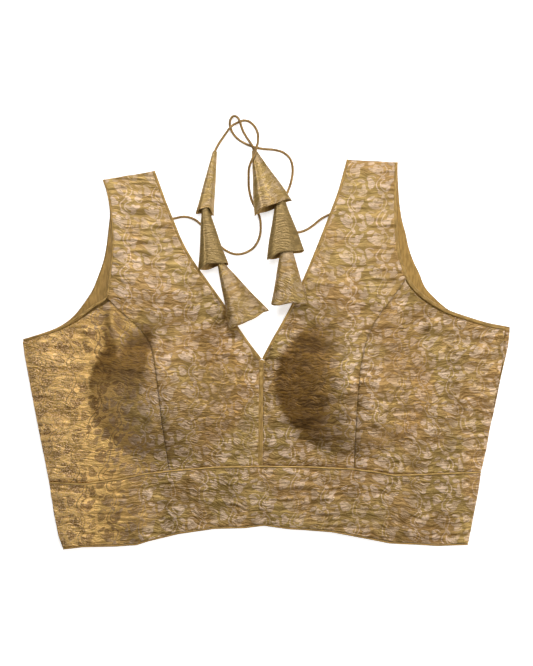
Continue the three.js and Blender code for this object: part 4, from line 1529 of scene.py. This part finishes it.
            def places(u: np.ndarray) -> np.ndarray:
                """The edge's places from left to right."""
                x = low * (1 - u) + high * u
                return np.stack([x, read_off(table, x) + ease], axis=1)

            return places

        top, foot = run(0, WAIST, -PIPING - 0.4), run(1, HEM, PIPING + 0.4)
        band = self._sheet("front_band", (left, right, top, foot), (412, 72), self.band_shell)
        declare(band, ["back_band"], trims)

    def _bead(
        self,
        name: str,
        cells: int,
        plan: Callable[[np.ndarray, np.ndarray], np.ndarray],
        width: float,
        wall: float,
        role: Role,
        material: bpy.types.Material,
        length: float,
    ) -> bpy.types.Object:
        """A folded strip or piping that lies along an edge of the front.

        Args:
            name: Its name, which is its solid's.
            cells: How many cells long it is.
            plan: Its places in plan, from shares along it and distances across it.
            width: How wide it is.
            wall: How thick it is.
            role: The record's slot.
            material: Its cloth.
            length: How long it is.

        Returns:
            The bead.
        """

        def section(u: np.ndarray) -> tuple[np.ndarray, np.ndarray]:
            """The bead's rounded section: how far across, and how far off the wall."""
            turn = 2 * np.pi * u
            c, s = np.cos(turn), np.sin(turn)
            across = 0.5 * width * (1 + np.sign(c) * np.abs(c) ** 0.75)
            return across, 0.5 * wall * np.sign(s) * np.abs(s) ** 0.75

        def lay(u: np.ndarray, v: np.ndarray) -> np.ndarray:
            """The bead, a little uneven where its stitches pull it in."""
            across, off = section(u)
            pull = 1 - 0.05 * np.cos(v * length * 2 * np.pi / 5.5) ** 2
            return self.field.lay(plan(v, across), off * pull)

        def grain(u: np.ndarray, v: np.ndarray) -> np.ndarray:
            """The bead's places on its cloth."""
            return MM * np.stack([u * 2 * (width + wall), v * length], axis=1)

        piece = Cut(f"{name}_cloth", (12, cells), lay, grain, tube=True).make()
        return sew(piece, [name], role, material)

    def bindings(self, pattern: Pattern) -> list[bpy.types.Object]:
        """One side's neck and armhole bindings."""
        side = pattern.side

        def neck(v: np.ndarray, across: np.ndarray) -> np.ndarray:
            """The neck binding in plan."""
            return pattern.neck.aside(v * (pattern.point - 0.012), -side.inward * across)

        def arm(v: np.ndarray, across: np.ndarray) -> np.ndarray:
            """The armhole binding in plan."""
            return pattern.armhole.aside(v * pattern.armhole.last, side.inward * across)

        made = []
        for part, plan, width in (("neck", neck, BINDING), ("armhole", arm, side.arm_binding)):
            name = f"{part}_binding_{side.value}"
            wall = BINDING_WALL
            made.append(self._bead(name, 150, plan, width, wall, Role.BINDING, self.satin, 220))
        return made

    def pipings(self) -> list[bpy.types.Object]:
        """The piping under the waist seam and along the hem."""

        def along(table: Sequence[Point], base: float) -> Callable[[np.ndarray, np.ndarray], np.ndarray]:
            """A line of piping in plan."""
            ends = (
                float(side_x(SIDE_SEAM[Side.LEFT], np.array([table[0].y]))[0]),
                float(side_x(SIDE_SEAM[Side.RIGHT], np.array([table[-1].y]))[0]),
            )

            def plan(v: np.ndarray, across: np.ndarray) -> np.ndarray:
                """Its places."""
                x = ends[0] * (1 - v) + ends[1] * v
                return np.stack([x, read_off(table, x) + base + across], axis=1)

            return plan

        waist, hem = along(WAIST, -PIPING), along(HEM, 0)
        size = PIPING, PIPING_WALL
        return [
            self._bead("waist_piping", 300, waist, *size, Role.WAIST, self.piping, 430),
            self._bead("hem_piping", 300, hem, *size, Role.BINDING, self.satin, 405),
        ]

    def make(self) -> None:
        """Makes the whole front."""
        for side in Side:
            pattern = Pattern(side)
            trims = self.bindings(pattern)
            if side is Side.LEFT:
                trims += [self.strip(pattern), self.bar_tack()]
            self.panels(pattern, trims)
        self.band(self.pipings())


@dataclass
class Back:
    """The back, which the front lies on: its panel, lining and band, and the side lap."""

    shell: bpy.types.Material
    satin: bpy.types.Material
    cell: float = 3.0

    def _outer(self, side: Side, inset: float, side_inset: float) -> PlanLine:
        """A back half's outer edge, from the shoulder down to the waist.

        Args:
            side: Which half.
            inset: How far inside the blouse's edge it lies.
            side_inset: How far inside the side seam it lies.

        Returns:
            The edge.
        """
        arm = BACK_ARMHOLE[side]
        rows = [(p.x + side.inward * inset, p.y - (inset if abs(p.x) > 180 else 0)) for p in arm]
        table = SIDE_SEAM[side] if side is Side.LEFT else [*OPEN_SIDE, *SIDE_SEAM[side][6:]]
        foot = (-125.3 if side is Side.LEFT else -114.8) + inset
        start = arm[-1].y - (6 if side is Side.LEFT else 2)
        heights = [start, *(p.y for p in table if foot + 4 < p.y < start - 4), foot]
        for y in heights:
            x = float(side_x(table, np.array([y]))[0])
            rows.append((x + side.inward * side_inset, y))
        self.corner = len(arm) - 1
        return PlanLine(rows, [self.corner])

    def _half(self, side: Side, inset: float, side_inset: float) -> tuple[Callable, ...]:
        """The four edges of one half of the back above the waist."""
        outer = self._outer(side, inset, side_inset)
        neck = BACK_NECK[side]
        rows = [(p.x, p.y - inset) for p in neck]
        rows += [(-5, -75), (-5, float(read_off(WAIST, np.array([-5.0]))[0]) + GAP / 2 + inset)]
        inner = PlanLine(rows, [len(neck) - 1])

        def outer_edge(v: np.ndarray) -> np.ndarray:
            """The outer edge from the shoulder down."""
            return outer.at(v * outer.last)

        def inner_edge(v: np.ndarray) -> np.ndarray:
            """The neck edge, then the middle of the back."""
            return inner.at(v * inner.last)

        edges = (outer_edge, inner_edge) if side is Side.LEFT else (inner_edge, outer_edge)
        zero, one = np.zeros(1), np.ones(1)
        ends = edges[0](zero), edges[1](zero)

        def top(u: np.ndarray) -> np.ndarray:
            """The shoulder edge."""
            return ends[0] * (1 - u[:, None]) + ends[1] * u[:, None]

        foot = waist_edge(edges[0](one)[0], edges[1](one)[0], GAP / 2 + inset)
        return (*edges, top, foot)

    def _layer(
        self, name: str, floor: float, wall: float, insets: tuple[float, float], role: Role,
        material: bpy.types.Material,
    ) -> bpy.types.Object:
        """One layer of the back above the waist, cut in two halves that are one cloth."""
        halves = []
        for side in Side:
            edges = self._half(side, *insets)

            def plan(u: np.ndarray, v: np.ndarray, edges: tuple = edges) -> np.ndarray:
                """The half's places in plan."""
                return within(*edges, u, v)

            def lay(u: np.ndarray, v: np.ndarray, plan: Callable = plan) -> np.ndarray:
                """The half, flat on what it lies on."""
                flat = plan(u, v)
                return np.column_stack([flat, np.full(len(flat), floor + wall / 2)])

            def grain(u: np.ndarray, v: np.ndarray, plan: Callable = plan) -> np.ndarray:
                """The half's places on the woven cloth."""
                return plan(u, v) * MM

            halves.append(Cut(f"{name}_{side.value}", (44, 110), lay, grain).make())
        joined = bmesh.new()
        for half in halves:
            joined.from_mesh(half.data)
            bpy.data.objects.remove(half)
        bmesh.ops.remove_doubles(joined, verts=joined.verts, dist=0.00002)
        mesh = bpy.data.meshes.new(f"{name}_cloth")
        joined.to_mesh(mesh)
        joined.free()
        piece = bpy.data.objects.new(f"{name}_cloth", mesh)
        bpy.context.scene.collection.objects.link(piece)
        sew(piece, [name], role, material)
        thicken(piece, wall)
        return piece

    def band(self) -> None:
        """The back of the band, flat on the surface."""

        def plan(u: np.ndarray, v: np.ndarray) -> np.ndarray:
            """The band's places in plan."""
            top, foot = -0.15, 0.0
            low = -214.2 * (1 - v) + -200.8 * v
            high = 212.0 * (1 - v) + 199.2 * v
            x = low * (1 - u) + high * u
            y = (read_off(WAIST, x) + top) * (1 - v) + (read_off(HEM, x) + foot) * v
            return np.stack([x, y], axis=1)

        def lay(u: np.ndarray, v: np.ndarray) -> np.ndarray:
            """The band, flat."""
            flat = plan(u, v)
            return np.column_stack([flat, np.full(len(flat), BACK_CLOTH / 2)])

        piece = Cut("back_band_cloth", (140, 26), lay, lambda u, v: plan(u, v) * MM).make()
        sew(piece, ["back_band"], Role.BROCADE, self.shell)
        declare(piece, [])
        thicken(piece, BACK_CLOTH)

    def lap(self) -> bpy.types.Object:
        """The lap beside the opening in the side seam."""

        def plan(u: np.ndarray, v: np.ndarray) -> np.ndarray:
            """The lap's places in plan."""
            y = 24 * (1 - v) - 62 * v
            inner = side_x(SIDE_SEAM[Side.RIGHT], y) + GAP
            outer = side_x(OPEN_SIDE, y)
            return np.stack([inner * (1 - u) + outer * u, y], axis=1)

        def lay(u: np.ndarray, v: np.ndarray) -> np.ndarray:
            """The lap, on the back panel."""
            flat = plan(u, v)
            return np.column_stack([flat, LINING_FLOOR + CLOTH / 2 + 0.5 * u * (1 - v)])

        piece = Cut("side_lap_cloth", (6, 50), lay, lambda u, v: plan(u, v) * MM).make()
        sew(piece, ["side_lap"], Role.BROCADE, self.shell)
        thicken(piece, CLOTH)
        return piece

    def make(self) -> None:
        """Makes the whole back."""
        panel = self._layer("back_panel", 0.0, BACK_CLOTH, (0.0, 0.0), Role.BROCADE, self.shell)
        declare(panel, [], [self.lap()])
        lining = self._layer("back_lining", LINING_FLOOR, LINING, (0.6, 0.6), Role.LINING, self.satin)
        declare(lining, [panel.name])
        self.band()


@dataclass
class Tie:
    """A tie cord with the tassel on its end."""

    side: Side
    satin: bpy.types.Material
    shells: tuple[bpy.types.Material, ...]
    lining: bpy.types.Material
    sides: int = 14

    def _route(self) -> np.ndarray:
        """The cord's middle, a millimetre a step, from the back neck into its last cone."""
        cones = TASSEL[self.side]
        hidden = []
        for cone in cones:
            top = np.array([cone.x, cone.y, cone.z])
            run = np.array([cone.mouth_x, cone.mouth_y, cone.mouth_z]) - top
            hidden += [top, top + run / np.linalg.norm(run) * CORD_TAIL]
        line = PlanLine([*CORD_ROUTE[self.side], *hidden]).evenly(1.0)
        line[:, 2] = np.maximum(line[:, 2], CORD / 2)
        return line

    def cord(self) -> bpy.types.Object:
        """The cord: satin sewn into a tube, a little twisted, round a cotton core."""
        route = self._route()
        run = np.gradient(route, axis=0)
        run /= np.linalg.norm(run, axis=1, keepdims=True)
        across = np.cross(run, [0, 0, 1])
        across /= np.linalg.norm(across, axis=1, keepdims=True)
        over = np.cross(across, run)
        count = len(route) - 1

        def lay(u: np.ndarray, v: np.ndarray) -> np.ndarray:
            """The cord's skin, with the faint ridge of its own seam winding round it."""
            at = np.rint(v * count).astype(int)
            turn = 2 * np.pi * u
            ridge = 1 - 0.05 * np.clip(np.cos(turn - at / 14), 0, 1) ** 8
            reach = (CORD / 2) * ridge * (1 - 0.02 * np.sin(at * 1.3) ** 2)
            off = across[at] * np.cos(turn)[:, None] + over[at] * np.sin(turn)[:, None]
            return route[at] + off * reach[:, None]

        def grain(u: np.ndarray, v: np.ndarray) -> np.ndarray:
            """The cord's places on its cloth."""
            return MM * np.stack([u * math.pi * CORD, v * count], axis=1)

        name = f"tie_cord_{self.side.value}"
        piece = Cut(name, (self.sides, count), lay, grain, tube=True).make()
        sew(piece, [f"cord_{self.side.value}"], Role.BINDING, self.satin)
        self.path = [tuple(float(c) * MM for c in place) for place in route]
        self.length = float(np.linalg.norm(np.diff(route, axis=0), axis=1).sum()) * MM
        return piece

    def cone(self, number: int, row: ConeRow) -> bpy.types.Object:
        """One cloth cone of the tassel.

        Args:
            number: Its number from the top.
            row: Its size and place.

        Returns:
            The cone.
        """
        top = np.array([row.x, row.y, row.z])
        axis = np.array([row.mouth_x, row.mouth_y, row.mouth_z]) - top
        length = float(np.linalg.norm(axis))
        flat = np.array([-axis[1], axis[0], 0.0])
        flat /= np.linalg.norm(flat)
        way = axis / length
        roll = math.radians(-row.roll)
        across = flat * math.cos(roll) + np.cross(way, flat) * math.sin(roll)
        over = np.cross(way, across)
        throat = CORD / 2 + 0.6
        lift, flap = LIP[self.side][number - 1], FLAP[self.side][number - 1]
        dice = np.random.default_rng(number + (7 if self.side is Side.RIGHT else 3))
        phase = dice.uniform(0, 2 * np.pi, 4)

        def lay(u: np.ndarray, v: np.ndarray) -> np.ndarray:
            """The cone's wall: pinched at its sides, with soft folds towards its mouth."""
            turn = 2 * np.pi * u
            c, s = np.cos(turn), np.sin(turn)
            wide = throat + (row.wide - 0.5 - throat) * v
            tall = throat + (row.tall - 0.5 - throat) * v
            fold = 0.09 * np.sin(3 * turn + phase[0]) + 0.06 * np.sin(5 * turn + phase[1])
            tall = tall * (1 - 0.12 * v + fold * v)
            lip = row.skew * c / length + 0.012 * np.sin(4 * turn + phase[2]) * v
            lip = lip - lift * v**2 * np.clip(s, 0, 1) ** 1.5
            over_edge = np.clip((turn - 2.08) / 0.1, 0, 1) * np.clip((3.1 - turn) / 0.5, 0, 1)
            tall = tall + flap * over_edge * np.clip(v * 4, 0, 1)
            spread = 1 - 0.02 * np.sin(v * 9 + phase[3])
            place = top + axis * (v * (1 + lip))[:, None]
            pinch = np.sign(s) * np.abs(s) ** (1 + 0.25 * v)
            place = place + across * (wide * c * spread)[:, None]
            return place + over * (tall * pinch)[:, None]

        def grain(u: np.ndarray, v: np.ndarray) -> np.ndarray:
            """The cone's places on its cloth."""
            reach = 2.2 * (throat + (row.wide - throat) * v)
            return MM * np.stack([(u - 0.5) * 2 * reach + 60 * number, v * length], axis=1)

        name = f"{self.side.value}_tassel_cone_{number}"
        piece = Cut(f"{name}_cloth", (72, 46), lay, grain).make()
        shape = bmesh.new()
        shape.from_mesh(piece.data)
        bmesh.ops.remove_doubles(shape, verts=shape.verts, dist=1e-6)
        bmesh.ops.recalc_face_normals(shape, faces=shape.faces)
        outward = sum((f.calc_center_median() - self._axis_near(f, top, way)).dot(f.normal) for f in shape.faces)
        if outward < 0:
            bmesh.ops.reverse_faces(shape, faces=shape.faces)
        shape.to_mesh(piece.data)
        shape.free()
        sew(piece, [name], Role.BROCADE, self.shells[number - 1], self.lining)
        thicken(piece, 0.8, backed=True)
        return piece

    @staticmethod
    def _axis_near(face: bmesh.types.BMFace, top: np.ndarray, way: np.ndarray) -> Vector:
        """The place on the cone's axis nearest a face, in metres."""
        middle = np.array(face.calc_center_median()) / MM
        return Vector((top + way * float(np.dot(middle - top, way))) * MM)

    def make(self) -> None:
        """Makes the cord and its cones, and states the cord's facts."""
        cord = self.cord()
        cones = [self.cone(i + 1, row) for i, row in enumerate(TASSEL[self.side])]
        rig.cord(
            cord,
            exit=self.path[0],
            length=self.length,
            diameter=CORD * MM,
            far_end="fitting",
            stiffness="limp",
            lay="loose",
            path=self.path,
            with_pieces=cones,
        )


@dataclass
class Studio:
    """The pale surface that the blouse lies on, the lights over it, and the camera."""

    height: float = 1.557
    lens: float = 85.0

    def make(self) -> None:
        """Sets the surface, lights and camera."""
        self._floor()
        self._light("key", (1.25, -0.3, 0.85), 0.8, 17.5, (1.0, 0.985, 0.96))
        self._light("top", (-0.1, 0.62, 0.75), 0.6, 7.8, (1.0, 1.0, 1.0))
        self._light("fill", (-1.0, -0.9, 1.8), 1.2, 1.5, (0.97, 0.98, 1.0))
        world = bpy.data.worlds.new("studio_air")
        world.use_nodes = True
        world.node_tree.nodes["Background"].inputs["Color"].default_value = (1, 1, 1, 1)
        world.node_tree.nodes["Background"].inputs["Strength"].default_value = 0.12
        bpy.context.scene.world = world
        data = bpy.data.cameras.new("camera")
        data.lens = self.lens
        data.sensor_width = 36.0
        camera = bpy.data.objects.new("camera", data)
        camera.location = (0.0003, 0.0215, self.height)
        bpy.context.scene.collection.objects.link(camera)
        bpy.context.scene.camera = camera

    def _floor(self) -> None:
        """The pale surface."""
        shape = bmesh.new()
        bmesh.ops.create_grid(shape, x_segments=1, y_segments=1, size=3.0)
        bmesh.ops.translate(shape, verts=shape.verts, vec=(0, 0, -0.0002))
        mesh = bpy.data.meshes.new("surface")
        shape.to_mesh(mesh)
        shape.free()
        floor = bpy.data.objects.new("surface", mesh)
        bpy.context.scene.collection.objects.link(floor)
        material, board, shader = new_material("pale_surface")
        shader.inputs["Base Color"].default_value = (0.93, 0.93, 0.93, 1)
        shader.inputs["Emission Color"].default_value = (1, 1, 1, 1)
        shader.inputs["Emission Strength"].default_value = 0.6
        shader.inputs["Roughness"].default_value = 0.8
        floor.data.materials.append(material)
        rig.stage(floor)

    @staticmethod
    def _light(
        name: str, place: tuple[float, float, float], size: float, power: float,
        colour: tuple[float, float, float],
    ) -> None:
        """A soft square light that faces the blouse."""
        data = bpy.data.lights.new(name, "AREA")
        data.size = size
        data.energy = power
        data.color = colour
        light = bpy.data.objects.new(name, data)
        light.location = place
        light.rotation_euler = Vector(place).to_track_quat("Z", "Y").to_euler()
        bpy.context.scene.collection.objects.link(light)


def main() -> None:
    """Makes the blouse, piece by piece, and writes its sizes."""
    logging.basicConfig(level=logging.INFO, format="%(name)s: %(message)s")
    bpy.context.scene.view_settings.view_transform = "Standard"
    Studio().make()
    cord_satin = PlainFinish("cord_satin", (0.6, 0.46, 0.21), (0.45, 0.33, 0.13), 0.45, 0.25).make()
    satin = PlainFinish("binding_satin", (0.68, 0.54, 0.28), (0.55, 0.43, 0.2), 0.5, 0.25).make()
    light_satin = PlainFinish("waist_satin", (0.8, 0.66, 0.38), (0.64, 0.5, 0.26), 0.45, 0.3).make()
    lining = PlainFinish("mustard_lining", (0.67, 0.52, 0.25), (0.56, 0.43, 0.18), 0.5, 0.1).make()
    # Three copies of one brocade for the tassel cones, each dimmed by its own amount of painted shade.
    rosy = BrocadeFinish("brocade_rosy", 8, (13, 31), False, 0.6, depth=0.5, relief=0.45).make()
    shaded_cone_brocade = BrocadeFinish("brocade_dusky", 12, (4, 9), False, 0.3, depth=0.9, relief=0.45).make()
    pale = BrocadeFinish("brocade_pale", 30, (22, 6), False, 0.8, depth=0.4, relief=0.4).make()
    for side in Side:
        Tie(side, cord_satin, (rosy, shaded_cone_brocade, pale), lining).make()
    cloth = ClothField()
    shell = {
        Side.LEFT: BrocadeFinish("brocade_left", 0, (3, 11)).make(),
        Side.RIGHT: BrocadeFinish("brocade_right", 0, (21, 4)).make(),
    }
    side_shell = {
        Side.LEFT: BrocadeFinish("brocade_side_left", 0, (9, 27)).make(),
        Side.RIGHT: BrocadeFinish("brocade_side_right", 0, (30, 17)).make(),
    }
    band_shell = BrocadeFinish("brocade_band", 0, (17, 20)).make()
    Front(cloth, shell, side_shell, band_shell, satin, light_satin, lining).make()
    Back(BrocadeFinish("brocade_back", 0, (5, 5), ridged=False).make(), lining).make()
    visual = [list(map(float, corner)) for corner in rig.bounds()]
    with open("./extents.json", "w", encoding="utf-8") as out:
        json.dump({"cad": CAD_BOX, "visual": visual}, out)


if __name__ == "__main__":
    main()
